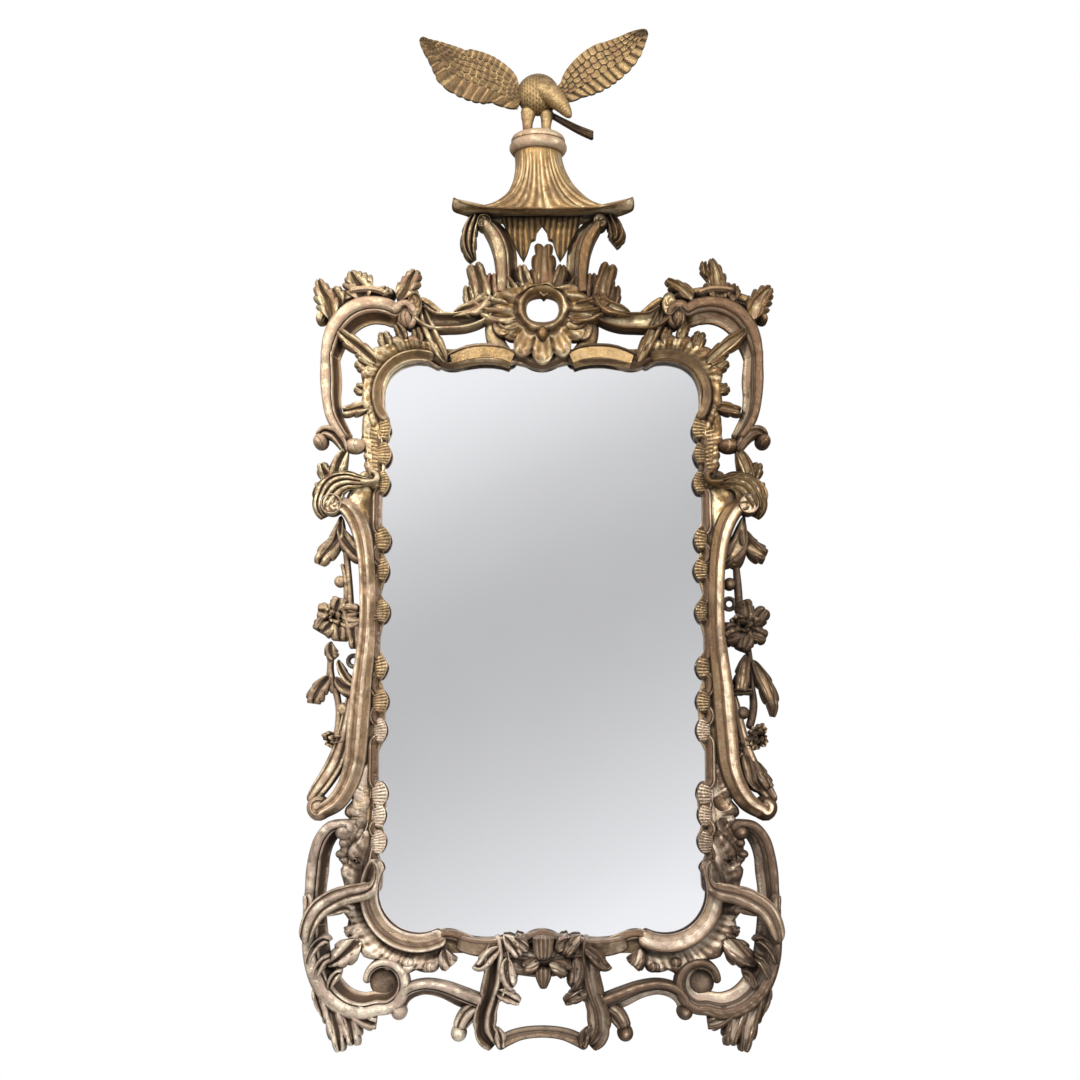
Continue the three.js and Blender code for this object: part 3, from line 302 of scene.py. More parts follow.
def old_brass():
    """Dark tarnished brass, rubbed lighter in places."""
    material, tree, shader = tree_of("old_brass")
    tone = grain(tree, 160, 5, 0.65)
    colour = blend(tree, remap(tree, tone, 0.35, 0.68), (0.105, 0.085, 0.068), (0.33, 0.28, 0.22))
    put(tree, shader.inputs["Base Color"], colour)
    shader.inputs["Metallic"].default_value = 0.8
    put(tree, shader.inputs["Roughness"], remap(tree, tone, 0.3, 0.7, 0.55, 0.34))
    bumped(tree, shader, grain(tree, 900, 3), 0.0002)
    return material


plate_finish, wood_finish, brass_finish = silvered_plate(), bare_wood(), old_brass()
print("plain finishes", plate_finish.name, wood_finish.name, brass_finish.name)

# %% [markdown]
# ## Surfaces
# A carved member is a section carried along a path, as a carver works a moulding along a drawn line. The
# path is a smooth curve through a few stations, each with a half width; the section is a relief across
# the member. Sculpting or subdivided boxes could do it too, but a grid of points gives the flutes and
# lobes their own rows. It is closed into a skin: it wraps round the member and each end gathers in a pole.

# %% Curves and shells
def unit(A):
    """Vectors of length 1."""
    return A / np.maximum(np.linalg.norm(A, axis=-1, keepdims=True), 1e-9)


def through(given, knots, at, order=1):
    """Cubic pieces through the given rows, one row to a knot, read at places along the knots. The slope
    at a knot is the finite difference over its neighbours."""
    slope = np.gradient(given, knots, axis=0, edge_order=order)
    k = np.clip(np.searchsorted(knots, at, side="right") - 1, 0, len(knots) - 2)
    h = (knots[k + 1] - knots[k])[:, None]
    x = (at - knots[k])[:, None] / h
    return ((1 + 2 * x) * (1 - x) ** 2 * given[k] + x * (1 - x) ** 2 * h * slope[k]
            + x ** 2 * (3 - 2 * x) * given[k + 1] + x ** 2 * (x - 1) * h * slope[k + 1])


def follow(stations, pace, extend=(0, 0)):
    """Stations joined by cubic pieces against the square root of the distance, read again at even steps
    of length with more steps near the ends. Extend carries an end straight on."""
    given = [np.array(s, float) for s in stations]
    for end, near, reach in ((0, 1, extend[0]), (-1, -2, extend[1])):
        if reach:
            step = given[end][:2] - given[near][:2]
            more = np.r_[given[end][:2] + step / np.hypot(*step) * reach, given[end][2]]
            given = [more] + given if end == 0 else given + [more]
    given = np.array(given)
    knots = np.r_[0, np.cumsum(np.sqrt(np.hypot(*np.diff(given[:, :2], axis=0).T)))]
    read = through(given, knots, np.linspace(0, knots[-1], 30 * len(given)), 2 if len(given) > 2 else 1)
    run = np.r_[0, np.cumsum(np.hypot(*np.diff(read[:, :2], axis=0).T))]
    even = np.linspace(0, run[-1], max(9, int(run[-1] / pace)))
    near = min(9.0, run[-1] / 4) * (1 - np.cos(np.linspace(0, np.pi / 2, 6)))
    even = np.unique(np.round(np.r_[even, near, run[-1] - near], 4))
    return even, np.stack([np.interp(even, run, column) for column in read.T], 1)


def wind(stations, centre, turn, sweep, radii, widths, count=9):
    """Stations followed by a spiral round a centre: the turn starts at an angle in degrees and sweeps
    on, while the radius and the half width go from their first to their second value."""
    share = np.linspace(0, 1, count)
    angle = np.radians(turn + sweep * share)
    r = radii[0] + (radii[1] - radii[0]) * share ** 0.85
    w = widths[0] + (widths[1] - widths[0]) * share
    return list(stations) + list(zip(centre[0] + r * np.cos(angle), centre[1] + r * np.sin(angle), w))


def hand(P):
    """The carver's hand: shallow waves of a third of a millimetre in depth, in plain sums of sines."""
    u, z = P[..., 0], P[..., 2]
    wave = (0.30 * np.sin(0.083 * u + 0.061 * z) + 0.24 * np.sin(0.131 * u - 0.117 * z + 1.7)
            + 0.10 * np.sin(0.31 * u + 0.23 * z + 0.4 + 1.5 * np.sin(0.07 * z)))
    P[..., 1] -= wave * np.clip((-P[..., 1] - 30) / 12, 0, 1)
    return P


def hollow_of(P, wrap):
    """How far the neighbours' mean lies in front of a point, along its normal, in millimetres: above 0
    in hollows and below 0 on ridges. Taken at two reaches."""
    def shift(A, k, axis):
        if axis == 1 and wrap:
            return np.roll(A, k, 1)
        return np.take(A, np.clip(np.arange(A.shape[axis]) - k, 0, A.shape[axis] - 1), axis)
    normal = unit(np.cross(shift(P, -1, 1) - shift(P, 1, 1), shift(P, -1, 0) - shift(P, 1, 0)))
    total = 0
    for k, weight in ((1, 1.6), (3, 0.5)):
        mean = sum(shift(P, s * k, axis) for s in (1, -1) for axis in (0, 1)) / 4
        total = total + weight * np.sum((mean - P) * normal, axis=2)
    return total


def outward(points, quads, hollow, tris=np.zeros((0, 3), int)):
    """Turns all faces round if the signed volume that they hold is negative."""
    split = np.concatenate([quads[:, :3], quads[:, [0, 2, 3]], tris])
    a, b, c = (points[split[:, i]] for i in range(3))
    if np.sum(a * np.cross(b, c)) < 0:
        quads, tris = quads[:, ::-1], tris[:, ::-1]
    return {"points": points, "quads": quads, "tris": tris, "hollow": hollow}


def skin(P):
    """A grid that wraps round in its second direction, closed by a pole at each end."""
    P = hand(P)
    n, m = P.shape[:2]
    cell = np.arange(n * m).reshape(n, m)
    right = np.roll(cell, -1, 1)
    quads = np.stack([cell[:-1], right[:-1], right[1:], cell[1:]], -1).reshape(-1, 4)
    tris = np.concatenate([np.stack([np.full(m, n * m), right[0], cell[0]], -1),
                           np.stack([np.full(m, n * m + 1), cell[-1], right[-1]], -1)])
    points = np.concatenate([P.reshape(-1, 3), P[0].mean(0)[None], P[-1].mean(0)[None]])
    return outward(points, quads, np.r_[hollow_of(P, True).ravel(), 0, 0], tris)


def loop_skin(P):
    """A grid that wraps round in both directions, joined into a ring."""
    n, m = P.shape[:2]
    cell = np.arange(n * m).reshape(n, m)
    over, right = np.roll(cell, -1, 0), np.roll(cell, -1, 1)
    quads = np.stack([cell, right, np.roll(over, -1, 1), over], -1).reshape(-1, 4)
    return outward(P.reshape(-1, 3), quads, hollow_of(P, True).ravel())


def slab(front, back):
    """Two grids of the same size, front and back, joined all round their rim."""
    n, m = front.shape[:2]
    cell = np.arange(n * m).reshape(n, m)
    top = np.stack([cell[:-1, :-1], cell[:-1, 1:], cell[1:, 1:], cell[1:, :-1]], -1).reshape(-1, 4)
    rim = np.r_[cell[0, :], cell[1:, -1], cell[-1, -2::-1], cell[-2:0:-1, 0]]
    after = np.roll(rim, -1)
    wall = np.stack([after, rim, rim + n * m, after + n * m], -1)
    quads = np.concatenate([top, top[:, ::-1] + n * m, wall])
    points = np.concatenate([front.reshape(-1, 3), back.reshape(-1, 3)])
    return outward(points, quads, np.r_[hollow_of(front, False).ravel(), np.zeros(n * m)])


def sided(P, side):
    """A grid on the right, or mirrored to the left where side is -1."""
    return P * [side, 1, 1]


BOTH = (("left", -1), ("right", 1))


def piece(name, shells, finish, nodes=(), side=1):
    """One object in metres from closed shells, or from grids that still need their skin. It rides on
    the frame and stands for CAD nodes."""
    shells = [s if isinstance(s, dict) else skin(sided(s, side)) for s in shells]
    base = np.cumsum([0] + [len(s["points"]) for s in shells])
    points, hollow = (np.concatenate([s[key] for s in shells]) for key in ("points", "hollow"))
    quads, tris = (np.concatenate([s[key] + b for s, b in zip(shells, base)]) for key in ("quads", "tris"))
    mesh = bpy.data.meshes.new(name)
    mesh.vertices.add(len(points))
    mesh.vertices.foreach_set("co", (points / 1000).astype(np.float32).ravel())
    corners = np.r_[quads.ravel(), tris.ravel()]
    mesh.loops.add(len(corners))
    mesh.loops.foreach_set("vertex_index", corners.astype(np.int32))
    starts = np.r_[np.arange(len(quads)) * 4, len(quads) * 4 + np.arange(len(tris)) * 3]
    mesh.polygons.add(len(starts))
    mesh.polygons.foreach_set("loop_start", starts.astype(np.int32))
    mesh.update(calc_edges=True)
    mesh.shade_smooth()
    for label, sign in (("deep", 1.0), ("proud", -1.0)):
        field = mesh.attributes.new(label, "FLOAT", "POINT")
        field.data.foreach_set("value", np.clip(sign * hollow / 0.55, 0, 1).astype(np.float32))
    item = bpy.data.objects.new(name, mesh)
    bpy.context.scene.collection.objects.link(item)
    mesh.materials.append(finish)
    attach(item, "frame")
    if nodes:
        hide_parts(*nodes)
    print(name, len(quads) * 2 + len(tris), "triangles")

# %% [markdown]
# ## Reliefs
# Across a carved member the height rises and falls. A scroll has a rounded face, a groove with a bright
# fillet and a steep inner slope; a leaf has flutes beside a sunk midrib; shell work has a cove. Bevelled
# curves could give such sections, but they can't change along the way. So a relief is a function: it
# says the height, up to about 1, at a place across from -1 to 1 and a way along from 0 to 1.

# %% Reliefs across a member
def profile(*points):
    """A relief read from points (place across from -1 to 1, height from 0 to 1)."""
    places, heights = np.array(points, float).T
    return lambda a, t: np.interp(a, places, heights)


SCROLL = profile((-1, .52), (-.95, .80), (-.82, .94), (-.5, 1), (-.12, .97), (-.02, .90), (.03, .74),
                 (.09, .72), (.13, .84), (.20, .88), (.26, .78), (.38, .52), (.7, .30), (1, .24))
BAND = profile((-1, .50), (-.92, .84), (-.72, .98), (-.2, 1), (.2, .97), (.30, .82), (.36, .74),
               (.42, .86), (.52, .86), (.60, .68), (.8, .48), (1, .36))
GROOVED = profile((-1, .55), (-.93, .90), (-.80, 1), (-.66, .97), (-.56, .78), (-.2, .66), (.2, .66),
                  (.56, .78), (.66, .97), (.80, 1), (.93, .90), (1, .55))
ROUND = profile(*[(x, 0.35 + 0.65 * np.sqrt(max(0, 1 - x * x))) for x in np.linspace(-1, 1, 21)])


def tooth(phase):
    """One lobe of a leaf's edge: from a notch, 0, up slowly with a root of the phase, then sharply back."""
    f = phase - np.floor(phase)
    return np.clip(1.22 * f ** 0.55 * (1 - f ** 9), 0, 1)


def flame(ribs=2.0, tilt=0.10, seed=0.0):
    """A flame leaf: it dips along its midrib, swells on either side and falls to its edge. Flutes run
    along it and spread with its width. Tilt raises one half, as a leaf never lies flat."""
    def relief(a, t):
        r = np.abs(a)
        body = (0.62 + 0.38 * np.sin(np.pi * np.clip(r * 0.92 + 0.04, 0, 1)) ** 1.2
                - 0.22 * np.clip(r - 0.82, 0, 1) / 0.18)
        flute = np.abs(np.cos(np.pi * ribs * (a * (1 - 0.25 * t) + 0.10 * np.sin(3 * t + seed)))) ** 0.45
        return (body + tilt * a * (1 - 0.4 * t)) * (0.89 + 0.11 * flute)
    return relief


def flowing(count, twist=0.0, depth=0.34):
    """A long leaf whose flutes run along it, side by side, and drift across by the twist."""
    def relief(a, t):
        wave = np.abs(np.cos(0.5 * np.pi * count * (a + twist * t))) ** 0.7
        body = (0.70 + 0.28 * np.cos(1.3 * a)) * (1 - depth + depth * wave)
        return body - 0.12 * np.clip(np.abs(a) - 0.85, 0, 1) / 0.15
    return relief


def ragged(lobes, t, drift=0.0):
    """The uneven count of lobes along an edge: whole numbers are notches, halves are tips."""
    return lobes * t + drift + 0.26 * np.sin(7 * t + 1) + 0.12 * np.sin(23 * t + 2)


def rocky(lobes, depth=0.22):
    """Shell work: from a roll beside the glass, at 1, the surface dips into a smooth cove, swells, and
    falls to a ragged outer edge at -1. A soft valley runs in from each notch of that edge."""
    def relief(a, t):
        face = np.interp(a, [-1, -.95, -.80, -.55, -.15, .25, .55, .76, .86, .95, 1],
                         [.52, .74, .90, 1.0, .86, .62, .50, .58, .76, .72, .5])
        reach = np.clip((0.35 - a) / 1.35, 0, 1)
        count = ragged(lobes, t, 0.30 * reach)
        valley = 0.5 - 0.5 * np.cos(2 * np.pi * count)
        return face * (1 - depth * reach ** 1.3 * (1 - valley)) + 0.035 * np.cos(6 * np.pi * count) * reach
    return relief


CHANNEL = profile((-1, .50), (-.90, .92), (-.78, 1), (-.64, .90), (-.35, .62), (0, .46), (.5, .42), (.9, .42),
                  (1, .3))
RIM = profile((-1, .55), (-.85, .92), (-.60, 1), (-.20, .86), (.2, .70), (.6, .58), (.9, .52), (1, .3))
RIDGE = profile((-1, .42), (-.92, .58), (-.35, .88), (-.20, .98), (-.10, 1), (0, .95), (.35, .93), (.7, 1),
                (.86, .95), (1, .5))

print("reliefs ready, a scroll is", round(float(SCROLL(0.03, 0)), 2), "high in its groove")

# %% [markdown]
# ## Members, leaves and buttons
# Three kinds of grid make nearly all of the carving. A strand follows a path, as every scroll does. A
# leaf is a strand with pointed lobes and a tip that curls forward. A button is seen from the front: the
# rolled ends of scrolls, balls, berries and flowers. All are drawn for the right-hand side; a piece
# mirrors them where it stands on the left.

# %% A strand along a path
def strand(stations, relief=SCROLL, back=22, front=58, flip=False, pace=2.0, around=30, lobes=(0, 0),
           notch=(0, 0), lean=0.0, sharp=False, ends=(1, 1), extend=(0, 0), curl=(0, 0), lift=True, thin=False):
    """A member along its stations (u, z, half width). The relief is its height across, from the back
    depth to its ridge. Lobes cut notches into either edge; lean sweeps the rows of the grid forwards
    towards the edges, so that lobes and veins point to the tip. Ends are domed on a quarter circle, and
    curl brings an end forward with the cube of the way to it."""
    at, line = follow(stations, pace, extend)
    t = (at / at[-1])[:, None]
    half = np.maximum(line[:, 2], 1.2)
    widest = max(s[2] for s in stations)
    rise = np.minimum(1, 0.35 + 0.65 * half / (0.6 * widest)) if lift else np.ones_like(half)
    swell = np.ones_like(half)
    for end, gone, h in ((ends[0], at, half[0]), (ends[1], at[-1] - at, half[-1])):
        if end:
            swell *= np.sqrt(np.clip(1 - (1 - np.clip(gone / (min(h, 9.0) * end), 0, 1)) ** 2, 0.006, 1))
    a = np.sin(np.linspace(-np.pi / 2, np.pi / 2, around))
    across = np.r_[a, 1, 1, 0.6, 0, -0.6, -1, -1]
    A = np.broadcast_to(across, (len(at), len(across))) + 0.0
    T = np.broadcast_to(t, A.shape)
    R = -A if flip else A
    height = np.clip(relief(R, T), 0.0, 1.25)
    rims = height[:, around - 1] + 0, height[:, 0] + 0
    height[:, around:] = 0
    height[:, around], height[:, around + 6] = rims[0] * 0.6, rims[1] * 0.6
    if thin:
        height[:, around + 1], height[:, around + 5] = rims[0] * 0.45, rims[1] * 0.45
        height[:, around + 2:around + 5] = 0.22
    cut = np.ones_like(A)
    for edge, count, depth in ((-1, lobes[0], notch[0]), (1, lobes[1], notch[1])):
        if count:
            wave = ragged(count, T, 0.30 * np.abs(A))
            point = 1 - np.abs(2 * (wave - np.floor(wave)) - 1)
            form = tooth(count * T) ** 0.8 if sharp else point ** 0.75 * (0.86 + 0.14 * np.sin(2.6 * wave + 1))
            bite = 1 - depth * (1 - form)
            cut = np.where(R * edge > 0, 1 + (bite - 1) * np.abs(A) ** 1.5, cut)
    wide = A * cut * (half * swell)[:, None]
    reach = np.clip(at[:, None] + lean * np.abs(A) ** 1.6 * (half * swell)[:, None], 0, at[-1])
    u, z = (np.interp(reach, at, line[:, k]) for k in (0, 1))
    way = unit(np.gradient(line[:, :2], at, axis=0))
    wu, wz = (np.interp(reach, at, way[:, k]) for k in (0, 1))
    deep = (front - back) * rise[:, None] * height * (0.25 + 0.75 * swell[:, None])
    forward = curl[0] * (1 - T) ** 3 + curl[1] * T ** 3
    return np.stack([u - wz * wide, -(back + deep + forward), z + wu * wide], -1)

# %% A leaf
def leaf(stations, lobes=3, notch=0.24, back=24, front=56, curl=8, lean=1.0, **more):
    """An acanthus leaf: a fluted strand with a few pointed lobes whose tip curls forward."""
    more.setdefault("relief", flame(1.0 + 0.04 * max(s[2] for s in stations), seed=stations[0][0]))
    return strand(stations, back=back, front=front, lobes=(lobes, lobes), notch=(notch, notch),
                  lean=lean, sharp=True, ends=(0.6, 0.4), curl=(0, curl), thin=True, pace=1.3, **more)

# %% Buttons
def button(u, z, ru, rz=None, back=22, front=58, relief=None, outline=None, rows=16, cols=48):
    """A round boss seen from the front: height is a relief of the share of the radius and the turn."""
    rz = ru if rz is None else rz
    relief = relief or (lambda r, q: np.sqrt(np.clip(1 - 0.65 * r ** 4, 0, 1)))
    share = np.r_[np.sin(np.linspace(0.04, np.pi / 2, rows)), 1, 1, 0.5]
    q = np.linspace(0, 2 * np.pi, cols, endpoint=False)[None]
    r = np.broadcast_to(share[:, None], (len(share), cols)) + 0.0
    height = np.clip(relief(r, q + 0 * r), 0, 1.3)
    height[rows] = height[rows - 1] * 0.5
    height[rows + 1:] = 0
    edge = 1 + 0 * q if outline is None else outline(q)
    return np.stack([u + ru * r * edge * np.cos(q), -(back + (front - back) * height),
                     z + rz * r * edge * np.sin(q)], -1)


def disc(u, z, ru, rz=None, **more):
    """The cut end of a rolled scroll: a flat face, slightly dished, with a thin raised rim."""
    def relief(r, q):
        return 0.86 + 0.12 * np.exp(-((r - 0.88) / 0.07) ** 2) - 0.10 * np.clip(r - 0.93, 0, 1) / 0.07 \
            - 0.05 * (1 - r) + 0.012 * np.cos(5 * q + 9 * r)
    return button(u, z, ru, rz, relief=relief, **more)


def knob(u, z, ru, rz=None, grooves=0, turn=0.0, **more):
    """The ball at the end of a scroll: half round, with a few curved grooves where a leaf laps it."""
    def relief(r, q):
        ball = 0.30 + 0.70 * np.sqrt(np.clip(1 - r ** 2.4, 0, 1))
        if not grooves:
            return ball
        lap = np.abs(np.sin(0.5 * grooves * (r * np.cos(q - turn) + 0.35 * r * r) * np.pi)) ** 0.5
        return ball * (0.90 + 0.10 * lap)
    return button(u, z, ru, rz, relief=relief, **more)


def blossom(u, z, ru, rz=None, petals=5, turn=0.0, seed=0.0, **more):
    """A flower: broad wavy petals of unequal length that cup forward, a second ring inside, a heart."""
    def petal(q, count, power):
        return np.abs(np.sin(count * q / 2)) ** power

    def outline(q):
        wave = 1 + 0.10 * np.sin(2 * q + seed) + 0.05 * np.cos(3 * petals * q + seed)
        return (0.62 + 0.38 * petal(q + turn, petals, 0.55)) * wave / 1.1

    def relief(r, q):
        bend = q + 0.35 * np.sin(3 * r + seed)
        cup = 0.34 + 0.34 * petal(bend + turn, petals, 0.6) * np.clip(r * 1.3, 0, 1) + 0.10 * np.sin(q + seed)
        cup = cup - 0.16 * np.exp(-((r - 0.58) / 0.08) ** 2)
        ring = (0.26 + 0.22 * petal(bend + turn + 0.6, petals - 1, 0.5)) * np.clip((0.60 - r) / 0.12, 0, 1)
        heart = -0.30 * np.exp(-(r / 0.16) ** 2) + 0.05 * np.cos(9 * q) * np.exp(-((r - 0.2) / 0.1) ** 2)
        return cup + ring + heart + 0.02 * np.cos(4 * petals * q) * (r > 0.6)
    return button(u, z, ru, rz, relief=relief, outline=outline, rows=24, cols=96, **more)


print("a plain leaf has", leaf([(0, 0, 9), (0, 20, 3)]).shape[:2], "points")

# %% [markdown]
# ## The upper corners
# Each upper corner is a C-scroll cut in the round: a broad rounded face outside, a V-groove with a
# bright fillet, and a steep dark inner slope. Its end winds into a ball. Flame-like leaves stand on a
# plain base behind it. They could be blocked out and sculpted; strands are used because the carver's
# drawing is a line with a width as well, and the left and right leaves differ only in their stations.

# %% Corner arches, leaves and upper side scrolls
ARCH = [(333, 452, 15), (328, 472, 18), (319, 493, 20), (305, 510, 21), (287, 521, 21), (266, 525, 20),
        (246, 522, 19), (229, 515, 16)]
OUTER_SCROLL = [(334, 451, 14), (333, 432, 15), (332, 410, 16), (331, 382, 14), (326, 354, 13),
                (316, 334, 12), (306, 319, 10)]
CORNER_BASE = [(352, 502, 8), (334, 530, 11), (300, 545, 11), (262, 552, 10), (232, 548, 9)]
LEAVES = {
    "left": [[(332, 504, 21), (337, 531, 19), (348, 555, 11), (354, 573, 3)],
             [(316, 526, 18), (325, 546, 12), (331, 558, 3)],
             [(282, 530, 30), (287, 556, 22), (297, 574, 11), (303, 587, 3)],
             [(258, 540, 16), (250, 553, 8), (246, 561, 3)],
             [(228, 535, 20), (214, 558, 17), (205, 576, 11), (200, 588, 3)]],
    "right": [[(332, 503, 22), (338, 526, 20), (351, 547, 12), (363, 560, 3)],
              [(284, 530, 26), (278, 560, 18), (275, 586, 11), (269, 607, 3)],
              [(262, 572, 9), (258, 590, 7), (256, 600, 3)],
              [(302, 532, 18), (303, 552, 10), (308, 563, 3)],
              [(240, 536, 18), (224, 553, 14), (207, 565, 8), (198, 573, 3)]]}
for name, side in BOTH:
    piece("arch_" + name, [
        strand(wind(ARCH, (219, 508), 100, 150, (17, 12), (14, 8), 6), SCROLL, extend=(6, 0),
               ends=(0.3, 1), curl=(0, 2)),
        knob(215, 508, 13, 15, grooves=3, back=30, front=60),
        strand([(304, 549, 5), (284, 553, 6), (262, 552, 6), (244, 544, 5)], BAND, back=40, front=60),
    ], gilt_worn, ["corner_arch_" + name], side)
    piece("corner_leaf_" + name, [strand(CORNER_BASE, BAND, front=46)]
          + [leaf(s, 3 + (s[0][2] > 18), 0.40, 28, 55, curl=5) for s in LEAVES[name]],
          gilt, ["corner_leaves_" + name], side)
    piece("side_scroll_" + name, [
        strand(OUTER_SCROLL, SCROLL, flip=True, ends=(0.3, 0.8), extend=(6, 5)),
        leaf([(305, 292, 8), (314, 311, 11), (326, 324, 11), (340, 327, 8), (348, 320, 5)], 1, 0.1, 28, 56,
             curl=0),
        knob(346, 313, 12, 12.5, grooves=2, turn=2.4, back=24, front=60),
        knob(292, 305, 17, 12, grooves=1, back=30, front=58),
    ], gilt_worn, ["outer_scroll_" + name], side)

# %% [markdown]
# ## Shell work
# Round the ears of the glass lies broad gilded shell work: a cove beside the sight moulding, a swelling,
# and a ragged outer edge whose notches run in as soft valleys. It could be modelled as a thick plate with
# a displacement map. Bent strands are used here, because the carver cuts it round the ear as well, and
# a rim in dark gilding, painted shade on its slope to the glass, follows the ear itself.

# %% Shell work round the ears of the glass
EAR, EAR_RADIUS = (195, 387), 57
LOW_EAR, LOW_EAR_RADIUS = (186, -378), 66
FRAME_FACE = 34.4


def bow(centre, radius, half, turns):
    """Stations of one half width on an arc, at angles in degrees."""
    return [(centre[0] + radius * np.cos(q), centre[1] + radius * np.sin(q), half) for q in np.radians(turns)]


EAR_SHELL = [(250, 322, 11), (258, 345, 14), (266, 375, 18), (267, 408, 22), (256, 438, 25),
             (232, 457, 25), (202, 463, 23), (175, 456, 18), (157, 441, 13)]
LOW_SHELL = [(262, -292, 13), (275, -318, 20), (282, -350, 23), (280, -385, 27), (273, -416, 28),
             (255, -446, 29), (228, -467, 28), (196, -476, 26), (166, -476, 21), (146, -466, 15)]
for name, side in BOTH:
    piece("ear_shell_work_" + name, [
        strand(EAR_SHELL, rocky(8), front=50, lobes=(8, 0), notch=(0.40, 0), extend=(8, 4),
               ends=(0.5, 0.8), around=40),
        leaf([(262, 370, 9), (284, 366, 12), (305, 361, 8), (312, 360, 4)], 2, 0.3, 26, 48, curl=0),
        leaf([(258, 434, 12), (286, 460, 14), (308, 477, 10), (321, 489, 3)], 3, 0.3, 28, 54),
        leaf([(150, 436, 9), (160, 456, 13), (172, 479, 13), (182, 503, 10), (189, 527, 3)], 3, 0.22,
             28, 53, curl=2),
        leaf([(216, 470, 9), (222, 488, 9), (230, 499, 3)], 2, back=26, front=48),
        strand([(260, 372, 10), (266, 350, 16), (268, 325, 18), (264, 300, 17), (262, 272, 16), (258, 252, 10)],
               rocky(5), 26, 48, flip=True, lobes=(5, 0), notch=(0.25, 0)),
        leaf([(270, 392, 10), (284, 396, 9), (292, 400, 3)], 2, back=26, front=46),
        leaf([(262, 424, 12), (280, 434, 11), (290, 441, 3)], 2, back=26, front=50),
        leaf([(240, 455, 12), (247, 474, 11), (250, 486, 3)], 2, back=26, front=50),
        leaf([(196, 462, 12), (196, 480, 10), (199, 492, 3)], 2, back=26, front=48),
    ], gilt, ["ear_shell_" + name], side)
    # The rim is in dark gilding, painted shade on its steep slope to the glass.
    piece("ear_rim_" + name, [
        strand(bow(EAR, EAR_RADIUS + 7, 7.6, range(-38, 120, 15)), RIM, FRAME_FACE, 52, lift=False,
               extend=(2, 2)),
    ], gilt_dark, side=side)
    piece("low_shell_work_" + name, [
        strand(LOW_SHELL, rocky(9, depth=0.30), front=50, flip=True, lobes=(9, 0),
               notch=(0.40, 0), extend=(6, 6), around=40),
        strand([(256, -168, 5), (264, -200, 12), (272, -235, 20), (276, -270, 22), (270, -300, 16)],
               rocky(5, depth=0.30), back=24, front=43, flip=True, lobes=(5, 0), notch=(0.3, 0)),
        strand(bow(LOW_EAR, LOW_EAR_RADIUS + 9, 13, range(38, -128, -16)), CHANNEL, FRAME_FACE, 57, flip=True,
               lift=False),
        leaf([(272, -428, 18), (283, -437, 10), (291, -444, 3)], 3, back=24, front=52),
        leaf([(270, -446, 22), (290, -464, 18), (308, -478, 9), (320, -484, 3)], 3, back=24, front=54),
        strand([(268, -268, 8), (281, -290, 14), (293, -312, 15), (293, -332, 13), (284, -348, 9)],
               rocky(3, depth=0.3), 24, 48, flip=True, lobes=(3, 0), notch=(0.3, 0)),
        knob(299, -305, 8, back=28, front=54), knob(303, -322, 9, 7, back=26, front=52),
        blossom(281, -331, 9, front=56, petals=5, turn=0.4 * side, seed=side),
        knob(200, -481, 11, 9, 2, back=30, front=52), knob(166, -487, 12, 9, 3, back=30, front=52),
        leaf([(146, -458, 14), (143, -474, 14), (136, -486, 6)], 2, back=30, front=54),
    ], gilt_low, ["low_shell_" + name], side)

# %% [markdown]
# ## The sides
# A short C-scroll with an acanthus foot, then one long, slender C-scroll down each side, and a third
# that leads into the large scroll of the lower corner. Bevelled curves could make them, but the long
# scroll changes its width all the way and ends in a spiral, so its stations run on into one.

# %% Side members
SIDE_ACANTHUS = [(257, 249, 6), (270, 248, 10), (286, 248, 15), (304, 249, 21), (321, 242, 25), (332, 226, 21),
                 (337, 208, 14), (333, 195, 7)]
LONG_SCROLL = [(320, 213, 12), (304, 209, 14), (291, 194, 15), (281, 172, 15), (275, 148, 14),
               (271, 118, 13), (269, 84, 13), (268, 45, 13), (269, 5, 14), (272, -28, 15), (276, -65, 16),
               (279, -108, 17), (282, -150, 17), (286, -190, 16), (297, -222, 15), (313, -245, 14),
               (331, -257, 12)]
OUTER_FILLET = [(290, -70, 4), (294, -100, 9), (298, -130, 12), (305, -160, 13), (315, -187, 14),
                (329, -211, 13), (343, -231, 11), (354, -246, 6)]
LOW_SCROLL = [(304, -282, 12), (317, -286, 14), (329, -301, 15), (336, -323, 15), (339, -348, 16),
              (341, -375, 15), (342, -400, 16), (341, -424, 17)]
